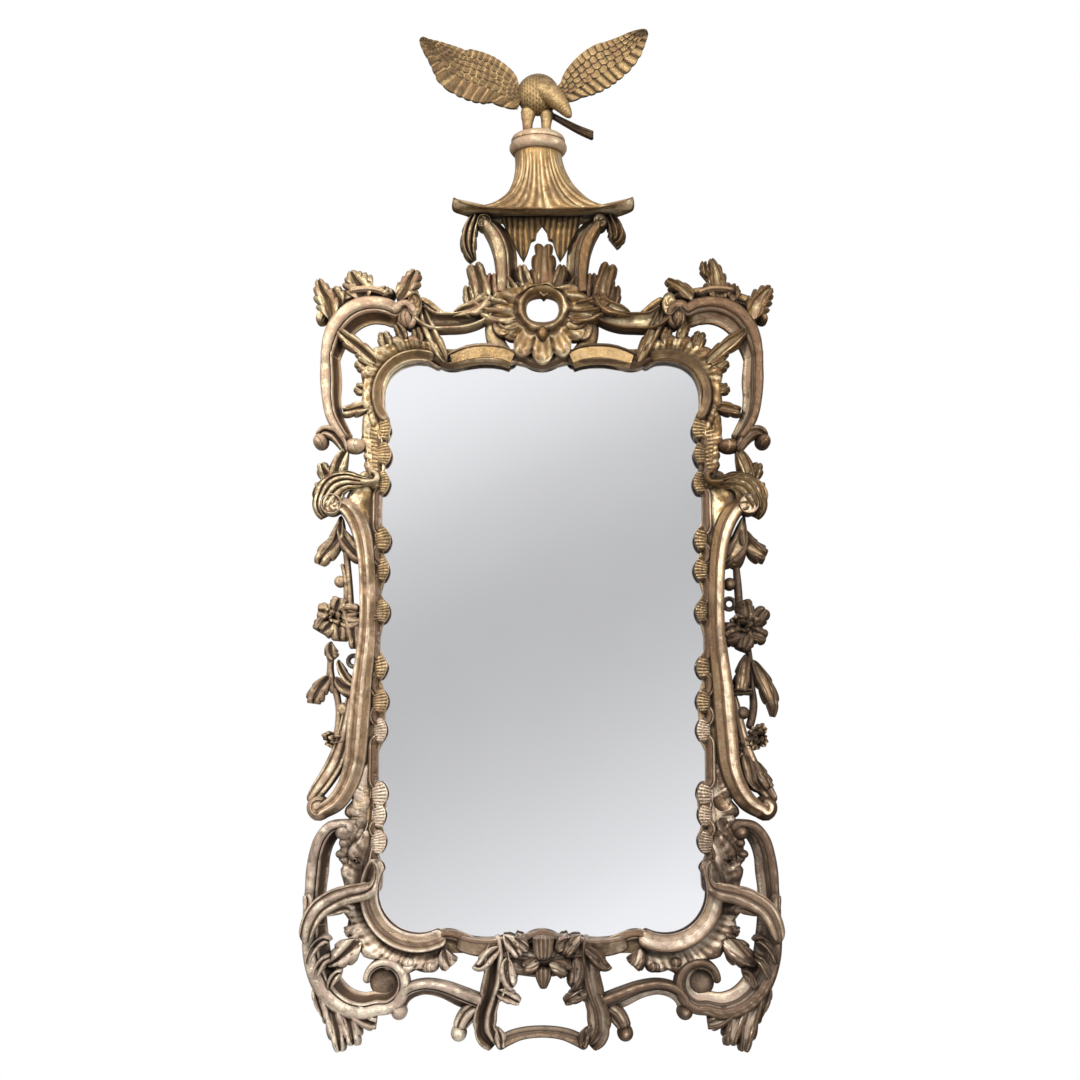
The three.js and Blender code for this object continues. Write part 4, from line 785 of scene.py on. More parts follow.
for name, side in BOTH:
    fan = 0 if side < 0 else -6
    piece("acanthus_" + name, [
        strand([(u + fan * (u > 300), z, w) for u, z, w in SIDE_ACANTHUS], flowing(5, 0.5, 0.26), 28, 60,
               flip=True,
               lobes=(3, 0), notch=(0.16, 0), lean=0.8, sharp=True, thin=True, extend=(3, 0), around=64),
        strand([(268, 268, 13), (272, 240, 21), (281, 212, 26), (276, 180, 20), (268, 150, 13), (260, 126, 9)],
               rocky(2, depth=0.1), back=24, front=45, flip=True, pace=3),
        strand(wind([(283, 247, 5), (272, 246, 5)], (264, 255), -110, -190, (9, 6), (5, 3), 8), ROUND, 40, 60,
               around=18, pace=1.2),
        leaf([(302, 300, 9), (312, 284, 14), (318, 268, 13), (322, 252, 10)], 2, 0.25, 26, 54, curl=0),
        leaf([(327 + fan, 246, 13), (338 + fan, 262, 11), (343 + fan, 277, 3)], 2, back=26, front=50),
        leaf([(337 + fan, 226, 12), (345 + fan, 238, 8), (348 + fan, 247, 3)], 2, back=26, front=48),
    ], gilt, ["side_acanthus_" + name], side)
    piece("long_side_scroll_" + name, [
        strand(wind(LONG_SCROLL, (337, -250), -80, 235, (12, 8), (11, 6), 9), RIDGE, pace=2.6, around=36,
               extend=(4, 0), curl=(0, 2)),
        strand([(300, -262, 7), (278, -250, 14), (268, -232, 12)], ROUND, 24, 40, pace=3),
        strand(OUTER_FILLET, flowing(2, 0.2, 0.2), back=24, front=48, flip=True, pace=2.6),
        disc(326 + fan, 211, 17, back=28, front=61),
        knob(338, -250, 9, back=36, front=56),
    ], gilt_worn, ["long_scroll_" + name], side)
    piece("low_side_scroll_" + name, [
        strand([(296, -292, 8), (295, -282, 11)] + LOW_SCROLL, SCROLL, flip=True, ends=(1, 0.3),
               extend=(0, 6)),
        knob(300, -289, 12, back=34, front=60),
    ], gilt_low, ["low_scroll_" + name], side)

# %% [markdown]
# ## The lower corners
# The large scroll turns in under the corner and winds round a dark hollow. Leaves lie along its outer
# side, ribbed leaves hang from it as feet, and one long leaf crosses in front of the shell work. The
# hollow could be cut through with a boolean; a boss behind the spiral in almost black gilding, painted
# shade, looks the same and stays whole.

# %% Large scrolls, foot leaves and sprays
BIG_SCROLL = [(341, -424, 17), (340, -447, 19), (337, -472, 20), (328, -499, 21), (313, -523, 21),
              (292, -539, 20), (268, -545, 19), (246, -541, 17)]
FEET = [[(322, -520, 17), (311, -552, 19), (303, -584, 13), (299, -609, 5)],
        [(300, -536, 18), (288, -562, 17), (280, -590, 10), (279, -600, 4)],
        [(282, -540, 18), (264, -561, 14), (246, -568, 6)],
        [(332, -506, 9), (334, -530, 9), (326, -552, 5), (320, -566, 3)]]
SPRAY = [(351, -452, 11), (346, -424, 14), (333, -402, 15), (312, -388, 15), (288, -379, 14),
         (266, -375, 12), (255, -370, 7), (249.5, -361, 4.4), (247.5, -350, 3.4), (248.5, -339, 2.6),
         (253, -331, 2)]
for name, side in BOTH:
    piece("large_scroll_" + name, [
        strand(wind(BIG_SCROLL, (238, -510), -105, -262, (31, 22), (16, 7), 13), SCROLL,
               flip=True, ends=(0.3, 1), extend=(4, 0), curl=(0, -3), pace=1.8, front=57),
        strand([(351, -420, 5), (355, -448, 5), (352, -478, 5), (343, -508, 5), (328, -532, 5), (306, -548, 3)],
               flowing(1, 0.2), 24, 50, flip=True),
        leaf([(349, -484, 5), (344, -466, 8), (335, -452, 9), (324, -446, 6), (317, -450, 3)], 2, 0.3, 34, 63,
             curl=-3),
        leaf([(337, -506, 6), (333, -489, 9), (325, -477, 7), (316, -473, 3)], 2, 0.3, 34, 62, curl=-2),
        leaf([(316, -520, 6), (312, -506, 8), (304, -496, 6), (298, -495, 3)], 2, 0.3, 34, 61, curl=-2),
    ] + [leaf(s, 3, 0.30, 24, 54, curl=6) for s in FEET],
          gilt_low, ["big_scroll_" + name], side)
    # The hollow is a boss in painted shade.
    piece("scroll_hollow_" + name, [button(237, -511, 21, back=22, front=32)], gilt_painted_shade, side=side)
    piece("crossing_leaf_" + name, [
        strand(SPRAY, flowing(2, 0.5, 0.30), 58.3, 79, lobes=(2, 1), notch=(0.14, 0.1), lean=0.9,
               sharp=True, ends=(0.7, 0.4), pace=1.2, around=40),
        leaf([(351, -408, 7), (348, -394, 8), (350, -380, 3)], 1, 0.1, 58.3, 72, curl=0),
        leaf([(326, -410, 7), (308, -402, 9), (292, -399, 8), (284, -404, 3)], 2, 0.2, 58.3, 70, curl=-3),
    ], gilt_low, ["spray_" + name], side)

# %% [markdown]
# ## The apron
# A shell hangs from the bottom rail between two scrolls and two short columns, over a curved bar. The
# lower part of the frame is duller and more rubbed than the crest. It could be mirrored with a modifier;
# the pieces are made one by one instead, so that each carries its own name.

# %% Apron
FOLDED = profile((-1, .62), (-.93, .92), (-.80, 1), (-.62, .84), (-.40, .60), (-.22, .56), (-.05, .70),
                 (.12, .92), (.28, .96), (.45, .80), (.62, .70), (.78, .84), (.90, .90), (1, .6))
APRON_SCROLL = [(213, -552, 10), (209, -535, 11), (197, -523, 12), (175, -517, 12), (148, -521, 13),
                (120, -532, 15), (96, -541, 15)]
APRON_COLUMN = [(67, -448, 19), (67, -476, 22), (69, -505, 20), (76, -530, 17), (84, -555, 18),
                (84, -580, 18), (72, -598, 11)]
for name, side in BOTH:
    piece("apron_curl_" + name, [
        strand(APRON_SCROLL, SCROLL, front=57, ends=(1, 0.4), extend=(0, 6)),
        knob(213, -553, 12, front=58),
        strand([(92, -546, 10), (108, -554, 13), (119, -567, 12), (124, -580, 9)], flowing(2, 0.3, 0.25),
               front=54, pace=1.5, back=24),
        knob(124, -584, 12, front=57),
    ], gilt_low, ["apron_scroll_" + name], side)
    piece("apron_pillar_" + name, [
        strand(APRON_COLUMN, FOLDED, flip=True, front=57, extend=(6, 4), lobes=(4, 4),
               notch=(0.20, 0.20), lean=0.6, sharp=True, around=44),
        leaf([(70, -520, 12), (51, -529, 10), (33, -538, 3)], 2, 0.18, back=26, front=56),
        leaf([(62, -456, 10), (78, -470, 12), (92, -484, 8), (100, -482, 4)], 2, 0.2, back=30, front=62),
        leaf([(50, -470, 12), (52, -490, 15), (48, -508, 9), (42, -516, 3)], 2, 0.2, back=30, front=60),
        leaf([(66, -575, 10), (62, -590, 9), (60, -602, 4)], 2, 0.2, back=26, front=56),
        leaf([(58, -440, 12), (46, -452, 12), (34, -470, 4)], 2, 0.2, back=34, front=58),
    ], gilt_low, ["apron_column_" + name], side)

# %% [markdown]
# In the middle of the apron a ribbed fan stands over a broad folded shell. One radial grid could make
# the fan; three short fluted members give it the uneven spread of the carved one.

# %% Apron middle
piece("apron_fan", [
    strand([(2, -478, 11), (2, -458, 15), (2, -440, 16)], flowing(5, 0, 0.14), 34, 66, pace=1.2, around=60,
           ends=(1, 0.5), curl=(0, 4)),
    leaf([(8, -480, 14), (20, -484, 16), (33, -489, 11), (40, -493, 4)], 2, 0.2, 34, 64, curl=2),
    strand([(2, -486, 12), (2, -500, 12), (2, -511, 8), (2, -519, 4)], flowing(4, 0, 0.16), 30, 62, pace=1.2,
           around=50, ends=(0.6, 0.4)),
], gilt_low)
piece("apron_shell_work", [
    strand([(-62, -474, 16), (-42, -476, 22), (-18, -481, 22), (0, -483, 20), (18, -481, 22), (42, -476, 22),
            (62, -474, 16)], FOLDED, 26, front=54, lobes=(3, 4), notch=(0.14, 0.1), extend=(6, 6), lift=False),
    leaf([(-2, -474, 12), (-14, -482, 13), (-28, -488, 5)], 2, 0.2, 34, 58, curl=2),
    *[leaf([(s * 18, -466, 10), (s * 30, -454, 12), (s * 42, -446, 4)], 2, 0.2, 30, 58, curl=4)
      for _, s in BOTH],
    *[strand([(s * 128, -450, 11), (s * 98, -459, 13), (s * 64, -458, 13), (s * 38, -446, 12)], RIM, FRAME_FACE,
             50, flip=s < 0) for _, s in BOTH],
], gilt_low, ["apron_shell"])
piece("apron_bottom_bar", [
    strand([(-66, -602, 8), (-50, -592, 9), (-30, -585, 8), (0, -582, 7.5), (30, -585, 8), (50, -592, 9),
            (66, -602, 8)], BAND, front=50, extend=(3, 3)),
], gilt_low, ["apron_bar"])

# %% [markdown]
# ## The crest
# Grooved rails rise from the corners to a pierced oval cartouche, two C-scroll posts carry the roof, and
# a bundle of leaves hangs under each roof tip. The tassels could be turned on a lathe; they are strands
# with flutes, because the real ones are flat leaves that were carved from the front.

# %% Rails, posts and tassels
CREST_RAIL = [(193, 518, 16), (174, 505, 16), (147, 503, 15), (122, 505, 15), (100, 513, 15),
              (80, 529, 15)]
POST = [(90, 668, 11), (81, 661, 15), (69, 645, 18), (60, 622, 19), (57, 598, 18), (56, 575, 17),
        (57, 552, 16)]
TASSELS = {"left": [(104, 684, 9), (107, 674, 11), (114, 656, 14), (117, 636, 13), (115, 618, 9),
                    (109, 606, 4)],
           "right": [(106, 684, 9), (109, 674, 12), (117, 658, 15), (119, 643, 12), (113, 634, 7)]}
for name, side in BOTH:
    piece("crest_band_" + name, [
        strand(CREST_RAIL, GROOVED, extend=(3, 5), ends=(0.6, 0.3)),
        disc(200, 529, 12, 20, back=30, front=60),
        leaf([(142, 510, 7), (124, 519, 15), (103, 526, 16), (84, 545, 4)], 4, 0.30, 36, 61),
        strand([(193, 538, 6), (179, 530, 7), (165, 519, 6), (155, 513, 4)], BAND, back=34, front=58),
        leaf([(93, 528, 19), (96, 556, 17), (103, 580, 14), (107, 594, 8)], 2, 0.16, 28, 56, curl=10),
        leaf([(78, 532, 12), (80, 560, 11), (79, 580, 4)], 2, back=28, front=54),
        leaf([(108, 522, 10), (115, 544, 10), (117, 560, 4)], 2, back=28, front=52),
    ], gilt, ["crest_rail_" + name], side)
    piece("roof_post_" + name, [
        strand([(101, 664, 8)] + POST, SCROLL, flip=True, ends=(1, 0.3), extend=(0, 5)),
        disc(92, 666, 11.5, front=58),
    ], gilt, ["post_" + name], side)
    piece("leaf_tassel_" + name, [
        strand(TASSELS[name], flowing(3, 0.1, 0.5), 28, 55, lobes=(3, 3), notch=(0.2, 0.2), pace=1.5,
               around=44, ends=(1, 0.4), lean=0.8, sharp=True),
    ], gilt, ["tassel_" + name], side)

# %% [markdown]
# The cartouche is a ring whose outer edge widens into a shell below and shoulders at the sides. It could
# be a disc with a hole cut by a boolean. A grid that runs once round and from the hole outwards keeps the
# rim clean, and the outer edge is then a plain function of the turn.

# %% Cartouche
def cartouche_grid(cols=360, rows=54):
    """Turn by turn, from the inner edge of the oval at the front over its rim to the outer edge, then
    back behind. A petal is a root of a cosine of 6.5 turns, so thirteen lobes would go round, and they
    show below only; the shoulders, which widen with the fourth power of the cosine, are ruffled."""
    centre, hole, rim = np.array([1, 0, 524]), (25.5, 21.5), (34.0, 33.0)
    q = np.linspace(0, 2 * np.pi, cols, endpoint=False)[:, None]
    down, wide = np.maximum(0, -np.sin(q)), np.abs(np.cos(q))
    petal = np.abs(np.cos(6.5 * (q + np.pi / 2))) ** 0.8
    edge = 42 + 48 * down + 40 * wide ** 4 * (1 - down) + 4 * np.cos(9 * q) * (1 - down)
    edge = edge * (1 - 0.20 * down ** 0.8 * (1 - petal))
    s = np.linspace(0, 1, rows)[None]
    slow, out = np.clip(s / 0.30, 0, 1), np.clip((s - 0.30) / 0.70, 0, 1)
    box = (np.abs(np.cos(q)) ** 4 + np.abs(np.sin(q)) ** 4) ** (-1 / 4)
    hx, hz = (size * turn * (1 + (box - 1) * 0.45) for size, turn in zip(hole, (np.cos(q), np.sin(q))))
    rx, rz, ex, ez = rim[0] * np.cos(q), rim[1] * np.sin(q), edge * np.cos(q), edge * np.sin(q)
    x = np.where(s < 0.30, hx + (rx - hx) * slow, rx + (ex - rx) * out)
    z = np.where(s < 0.30, hz + (rz - hz) * slow, rz + (ez - rz) * out)
    dish = 47 + 14 * np.sin(np.pi / 2 * slow) ** 1.2
    ribs = 5.5 * down ** 0.6 * (petal - 1) * np.clip(out * 1.6 - 0.3, 0, 1)
    fine = 0.9 * down * np.cos(36 * (q + np.pi / 2)) * np.clip(out * 2 - 0.5, 0, 1)
    fall = 60 - 6 * np.sin(np.pi * out) * down - 8 * out ** 3
    fall = fall + 2.2 * np.exp(-((out - 0.04) / 0.05) ** 2) - 5 * np.exp(-((out - 0.20) / 0.10) ** 2)
    fall = fall + 3.0 * down * np.exp(-((out - 0.8) / 0.16) ** 2)
    ruffle = 4.2 * (1 - down) * wide * np.cos(13 * q + 3 * out) * np.sin(np.pi * out)
    depth = np.where(s < 0.30, dish, fall + ribs + fine + ruffle)
    behind = [np.stack([x1 * f, np.full_like(q, -d), z1 * f], -1)
              for x1, z1, f, d in ((ex, ez, 1, 38), (ex, ez, 0.98, 24), (hx, hz, 1.06, 23), (hx, hz, 1, 34))]
    return hand(np.concatenate([np.stack([x, -depth, z], -1)] + behind, 1) + centre)


crest_parts = [
    loop_skin(cartouche_grid()), button(1, 481, 8, 13, back=46, front=66),
    leaf([(3, 540, 20), (3, 570, 23), (3, 598, 17), (3, 617, 14), (3, 626, 5)], 3, 0.3, 28, 58),
    disc(-62, 494, 17, 17, back=34, front=57), disc(66, 490, 14, 19, back=34, front=54)]
for _, side in BOTH:
    crest_parts += [sided(part, side) for part in (
        leaf([(16, 545, 14), (28, 576, 11), (32, 595, 3)], 3, back=28, front=54),
        leaf([(36, 540, 12), (50, 562, 9), (56, 574, 3)], 2, back=28, front=52),
        leaf([(46, 522, 18), (82, 527, 18), (106, 538, 5)], 4, 0.36, 30, 60, curl=4),
        strand([(74, 512, 12), (76, 488, 14), (66, 462, 14), (44, 446, 9)], ROUND, 28, 46, flip=True),
        leaf([(38, 512, 14), (62, 509, 15), (86, 514, 9), (96, 520, 3)], 3, 0.22, 34, 63, curl=3),
        leaf([(34, 500, 10), (54, 494, 9), (66, 500, 3)], 2, 0.2, 36, 60, curl=3))]
piece("pierced_cartouche", crest_parts, gilt, ["cartouche"])

# %% [markdown]
# ## The pagoda roof
# From a round neck the roof sweeps out to a wide eave whose front corners turn up. Grooves run down it.
# A cloth simulation or a lattice could bend it; powers of the way down say the same sweep with a few
# numbers. The grid goes round the neck and down to the eave, and closes underneath.

# %% Roof and cap
NECK, EAVE, NECK_Z, EAVE_Z = 38, 146.5, 780, 679


def roof_grid(cols=320, rows=50):
    """Down from the neck to the eave and back under it. The half width grows from the neck's to the
    eave's with d to the power 1.92 - 0.34 cos q, where d is the way down and q the turn, while the
    depth stays. The front corners lift with the 12th power of d."""
    q = np.linspace(0, 2 * np.pi, cols, endpoint=False)[None] + 0.013
    d = np.linspace(0, 1, rows)[:, None] ** 0.9
    across, inward = np.cos(q), np.sin(q)
    corner = np.minimum(np.abs(across), np.abs(inward)) / 0.7071
    squared = 1 + d ** 2 * (np.hypot(1, corner) - 1) * 0.9
    x = across * squared * (NECK + (EAVE - NECK) * d ** (1.92 - 0.34 * across))
    y = inward * squared * NECK
    behind = 0.5 + y / (2 * NECK)
    lift = (13 + 6 * d ** 20) * corner ** (8 - 2 * across) * d ** 12 * (1 - behind)
    z = EAVE_Z + (NECK_Z - EAVE_Z) * (1 - d) ** 1.7 + lift
    groove = np.abs(np.cos(7.5 * q + 0.3 * np.sin(3 * q))) ** 0.6
    dip = (1 - groove) * (2.4 + 2.2 * d) * np.clip(d * 9, 0, 1) * np.clip((1 - d) * 7 + 0.2, 0, 1)
    dip = dip + 0.5 * (1 - np.cos(45 * q)) * np.clip(d * 5, 0, 1) * np.clip((1 - d) * 5, 0, 1)
    x = -6 * (1 - d) + 2 * d + x * (1 - 0.35 * d * behind) - across * dip * 0.6
    top = np.stack([x, y - 40 - inward * dip, z - dip * (0.3 + 0.5 * d)], -1)
    middle = np.array([2, -40, EAVE_Z])
    under = []
    for f, drop in ((1.0, 1.6), (0.985, 2.6), (0.93, 2.4), (0.8, 0.3), (0.5, 0), (0.15, 0)):
        ring = middle + (top[-1] - middle) * np.array([f, f, f ** 1.5])
        ring[:, 2] -= drop * (1 - 0.7 * corner[0] ** 3)
        under.append(ring)
    P = np.concatenate([top, np.stack(under)], 0)
    P[..., 1] = np.minimum(P[..., 1], -4)
    return P


def lathe(outline, centre, cols=96, wall=-3):
    """A turned form: radius and height pairs, round a centre. The back is cut at the wall."""
    q = np.linspace(0, 2 * np.pi, cols, endpoint=False)[None]
    r, z = np.array(outline, float).T[..., None]
    P = np.stack([centre[0] + r * np.cos(q), centre[1] + r * np.sin(q), centre[2] + z + 0 * q], -1)
    P[..., 1] = np.minimum(P[..., 1], wall)
    return P


CAP = [(12, 0.2), (38, 0.2), (41, 1), (44, 4.5), (46, 8.5), (46, 12.5), (44.5, 16), (42.5, 18.2), (42.6, 19.5),
       (43.4, 21.5), (43, 24), (41, 27.5), (37, 30.4), (30, 32.6), (20, 33.8), (9, 34)]
piece("swept_roof", [roof_grid()], gilt, ["pagoda_roof"])
piece("roof_cap", [lathe(CAP, (-6, -40, NECK_Z + 0.3))], gilt_worn, ["pagoda_cap"])

# %% [markdown]
# A carved drapery of reeds hangs under the roof, with a pointed arch in its middle. It could be a sheet
# of cloth, but the real one is a thin board, so it is a slab: a reeded front and a flat back.

# %% Drapery
FRINGE_EDGE = [(0, 664), (8, 653), (10, 641), (17, 638), (23, 618), (29, 605), (36, 616), (45, 634), (55, 655),
               (64, 672)]


def fringe_rows(cols=220, rows=26, top=678.5):
    """Reeds are a root of a cosine across and run from the top down to the scalloped lower edge."""
    x = np.linspace(-64, 64, cols)[None]
    low = np.interp(np.abs(x), *np.array(FRINGE_EDGE, float).T)
    s = np.linspace(0, 1, rows)[:, None]
    z = top + (low - top) * s
    reed = np.abs(np.cos(np.pi * (x / 9.0 + 0.35 * s * np.sign(x)))) ** 0.6
    depth = 36 + 7.5 * reed * (0.55 + 0.45 * s) * (0.2 + 0.8 * (z < top - 1))
    return slab(*(np.stack([x + 0 * z, -d, z], -1) for d in (depth, 28 + 0 * z)))


piece("roof_drapery", [fringe_rows()], gilt, ["roof_fringe"])

# %% [markdown]
# ## The bird
# Feathers lie in rows like tiles: each row covers the roots of the next one. Separate feathers could be
# laid out one by one, but carved ones are a single surface. So along the wing the height is the top of
# the first feather whose rounded tip lies beyond the point, worked out row by row.

# %% Wings
WINGS = {
    "left": [(-34, 867, 14), (-50, 876, 22), (-68, 892, 33), (-93, 904, 40), (-119, 914, 40), (-138, 922, 36),
             (-153, 935, 29), (-169, 949, 20), (-185, 962, 11), (-195, 973, 4)],
    "right": [(22, 875, 13), (40, 883, 18), (58, 899, 28), (78, 914, 34), (99, 929, 35), (119, 941, 31),
              (137, 955, 25), (151, 969, 18), (163, 980, 10), (170, 985, 4)]}


def off_middle(place):
    """How far a place lies from the middle of its own cell: 0 in the middle, 1 at its edges."""
    return np.abs(place - np.floor(place) - 0.5) * 2


def wing(stations, upper, tiers, counts, cols=150):
    """A wing from its leading edge, at v = 0, to its tips, at v = 1; upper is the leading side of the
    path. Tiers say where each row of short feathers ends, and thirteen long feathers fill the rest."""
    at, line = follow(stations, 1.5)
    t = (at / at[-1])[:, None]
    way = unit(np.gradient(line[:, :2], at, axis=0))
    v = np.linspace(0, 1, cols)[None]
    height, covered = np.zeros((len(at), cols)), np.zeros((len(at), cols), bool)
    for k, (edge, count) in enumerate(zip(tiers, counts)):
        cell = off_middle(t * count + 0.5 * (k % 2) + 0.35 * v)
        tip = edge + 0.075 * np.sqrt(np.clip(1 - cell ** 2, 0, 1)) - 0.03
        from_tip = np.clip((tip - v) / 0.22, 0, 1)
        quill = np.exp(-(cell / 0.13) ** 2) * 0.35
        barbs = 0.16 * np.cos(np.pi * 2 * (v * 34 + cell * 2.2))
        rise = 3.8 * (1 - from_tip * 0.9) - 2.3 * cell ** 4 + quill + barbs
        height = np.where((v < tip) & ~covered, rise, height)
        covered |= v < tip
    cell = off_middle(t * 13 - 1.1 * v)
    quill = 0.4 * np.exp(-(cell / 0.1) ** 2)
    barbs = 0.12 * np.cos(np.pi * 2 * (v * 40 - cell * 3))
    height = np.where(covered, height, 2.4 - 3.0 * cell ** 3 + quill + barbs)
    a = (1 - 2 * v * (1 + 0.05 * (np.sqrt(np.clip(1 - cell ** 2, 0, 1)) - 0.6))) * upper
    x = line[:, :1] - way[:, 1:] * a * line[:, 2:3]
    z = line[:, 1:2] + way[:, :1] * a * line[:, 2:3]
    lead = 2.2 * np.exp(-(v / 0.05) ** 2)
    front = np.minimum(49.2 + height + lead * 0.9 + 1.2 * np.sin(np.pi * v), 55.8)
    return slab(*(np.stack([x, -depth, z], -1) for depth in (front, 44.6 + 0.5 * np.sin(np.pi * v) + 0 * z)))


ROWS = {"left": ((0.13, 0.25, 0.37, 0.49, 0.62), (21, 19, 18, 17, 15)),
        "right": ((0.17, 0.33, 0.49, 0.64), (17, 15, 14, 12))}
for name, upper in BOTH:
    shells = [wing(WINGS[name], upper, *ROWS[name])]
    piece("feathered_wing_" + name, shells, gilt_feather, ["bird_wing_" + name])

# %% [markdown]
# The body is a ball covered with the same overlapping scales. Neck and head bend down over the breast;
# the tail is a bundle of flat quills, and the thighs carry short feathers. Metaballs could join it all;
# round limbs with rows of feather tips keep the feathers in rows, and meet inside the body.

# %% Body, head, tail and legs
def scaled_ball(centre, radii, rows=21, around=120, up=90):
    """A ball whose poles lie to the left and right; scales run round it in staggered rows. The radius
    grows by 3 parts in 100 from the root of a scale to its tip."""
    f = np.linspace(0.03, np.pi - 0.03, up)[:, None]
    q = np.linspace(0, 2 * np.pi, around, endpoint=False)[None]
    row = f / np.pi * rows
    level = np.floor(row)
    tip = 1 - 0.45 * off_middle(q / (2 * np.pi) * 26 + 0.5 * (level % 2)) ** 2
    swell = np.where((row - level) < tip, (row - level) / tip, (row - level - tip) * 0.8)
    r = np.minimum(1 + 0.030 * swell * np.sin(f) ** 0.4, 1.032)
    return np.stack([centre[0] + radii[0] * r * np.cos(f) + 0 * q,
                     centre[1] - radii[1] * r * np.sin(f) * np.cos(q),
                     centre[2] + radii[2] * r * np.sin(f) * np.sin(q)], -1)


def limb(route, around=28, scales=0.0):
    """A round limb along points (x, y, z, radius), with rows of feather tips across it, 4.6 mm apart."""
    given = np.array(route, float)
    run = np.r_[0, np.cumsum(np.linalg.norm(np.diff(given[:, :3], axis=0), axis=1))]
    even = np.linspace(0, run[-1], max(8, int(run[-1] / 1.2)))
    line = through(given, run, even)
    way = unit(np.gradient(line[:, :3], even, axis=0))
    first = unit(np.cross(way, np.array([0, 1.0, 0.15])))
    second = np.cross(way, first)
    q = np.linspace(0, 2 * np.pi, around, endpoint=False)[None]
    gone = np.minimum(even, even[-1] - even)
    swell = np.sqrt(np.clip(1 - (1 - np.clip(gone / np.maximum(line[:, 3], 1), 0, 1)) ** 2, 0.01, 1))
    row = even[:, None] / 4.6
    level = np.floor(row)
    saw = (row - level) * (1 - 0.5 * off_middle(q / (2 * np.pi) * 11 + 0.5 * (level % 2)) ** 2)
    r = (line[:, 3] * swell)[:, None] * (1 + scales * (saw - 0.5))
    out = first[:, None] * (r * np.cos(q))[..., None] + second[:, None] * (r * np.sin(q))[..., None]
    return line[:, None, :3] + out


bird = [
    scaled_ball((-6, -41, 881), (34, 25, 34)),
    limb([(-12, -46, 893, 17), (4, -53, 883, 19), (22, -58, 867, 16), (34, -60, 852, 11.5), (42, -61, 840, 7),
          (46, -61, 834, 3.5)], scales=0.06, around=44),
    limb([(-20, -40, 862, 14), (-22, -40, 848, 12), (-23, -40, 832, 8.5), (-23, -40, 817, 7.5)], scales=0.07),
    limb([(8, -40, 858, 13), (8, -40, 846, 11), (7, -40, 832, 8.2), (7, -40, 817, 7.6)], scales=0.07)]
bird += [strand([(12, 852 - 2 * k, 2.6), (36, 838 - 3 * k, 2.8), (60, 825 - 4 * k, 3.0),
                 (83, 815 - 4.4 * k, 3.4)], ROUND, 31, 38 + 1.2 * (k == 1), pace=1.5, around=14, ends=(1, 0.7))
         for k in (-1, 0, 1)]
bird += [limb([(c - 3 + 5 * j, -44, 818, 2.4), (c - 4 + 6.5 * j, -50, 816.9, 2.2),
               (c - 4.5 + 7 * j, -54, 816.4, 1.4)], 12) for c in (-22, 6) for j in (0, 1)]
piece("bird", bird, gilt_feather, ["bird_body"])

# %% [markdown]
# ## The garlands
# Each side carries its own garland: leaves, one large flower, small blossoms and berries on a thin stem.
# One garland could be mirrored, or leaves scattered by chance; the two differ on the real frame, so each
# is a short plan of stations. The petals of the large flower are leaves set round it, bent by turns.

# %% Garlands
GARLAND = {"left": {
    "leaves": [[(312, 196, 4), (314, 172, 13), (322, 150, 16), (336, 133, 12), (344, 118, 3)],
               [(314, 180, 8), (304, 156, 15), (290, 138, 13), (276, 126, 8), (268, 114, 3)],
               [(302, 60, 14), (292, 28, 14), (288, 4, 10), (287, -12, 4)],
               [(312, 46, 16), (290, 38, 13), (264, 36, 6), (250, 36, 3)],
               [(322, -52, 9), (336, -68, 15), (345, -82, 12), (349, -96, 4)],
               [(316, -54, 10), (304, -68, 15), (288, -76, 10), (272, -86, 4)],
               [(312, -28, 5), (306, -46, 8), (294, -62, 8), (284, -66, 3)],
               [(324, 0, 10), (324, -16, 10), (318, -28, 4)]],
    "stems": [[(306, 160, 5), (302, 124, 5), (298, 88, 5), (296, 52, 6)],
              [(310, 120, 3), (304, 96, 4), (302, 60, 5)],
              [(324, -16, 6), (325, -40, 5), (324, -60, 7), (318, -80, 5)],
              [(318, -70, 6), (312, -95, 5), (311, -120, 5), (315, -150, 5)],
              [(312, -145, 6), (298, -158, 6), (284, -166, 5), (282, -180, 5)]],
    "petals": [(200, 36), (150, 34), (100, 30), (40, 26), (245, 34), (300, 28), (340, 30)],
    "flowers": [(318, 36, 37, 36), (313, -150, 24, 17)],
    "berries": [(312, 92, 9), (304, -104, 10), (291, -163, 8), (283, -180, 8)]}, "right": {
    "leaves": [[(314, 196, 4), (310, 176, 13), (305, 150, 24), (290, 128, 12), (268, 112, 4)],
               [(312, 176, 12), (318, 152, 17), (332, 138, 14), (346, 130, 4)],
               [(312, -20, 7), (308, -50, 14), (303, -76, 8)],
               [(322, -28, 6), (334, -52, 14), (346, -78, 13), (352, -98, 8), (352, -116, 3)],
               [(270, -78, 5), (296, -78, 6), (320, -78, 5)],
               [(306, -170, 10), (312, -192, 14), (318, -214, 9), (330, -226, 4)],
               [(322, -180, 8), (334, -206, 12), (344, -224, 5)]],
    "stems": [[(302, 150, 5), (301, 120, 5), (303, 88, 6), (305, 52, 6)],
              [(316, -6, 5), (320, -36, 5), (322, -70, 5), (324, -100, 6), (316, -134, 6)],
              [(301, -152, 5), (316, -150, 6), (332, -150, 5)]],
    "petals": [(20, 42), (330, 38), (285, 34), (75, 38), (190, 34), (235, 32)],
    "flowers": [(309, 22, 44, 40), (301, -159, 16, 16), (330, -146, 19, 22)],
    "berries": [(290, 88, 10), (307, -110, 10)]}}


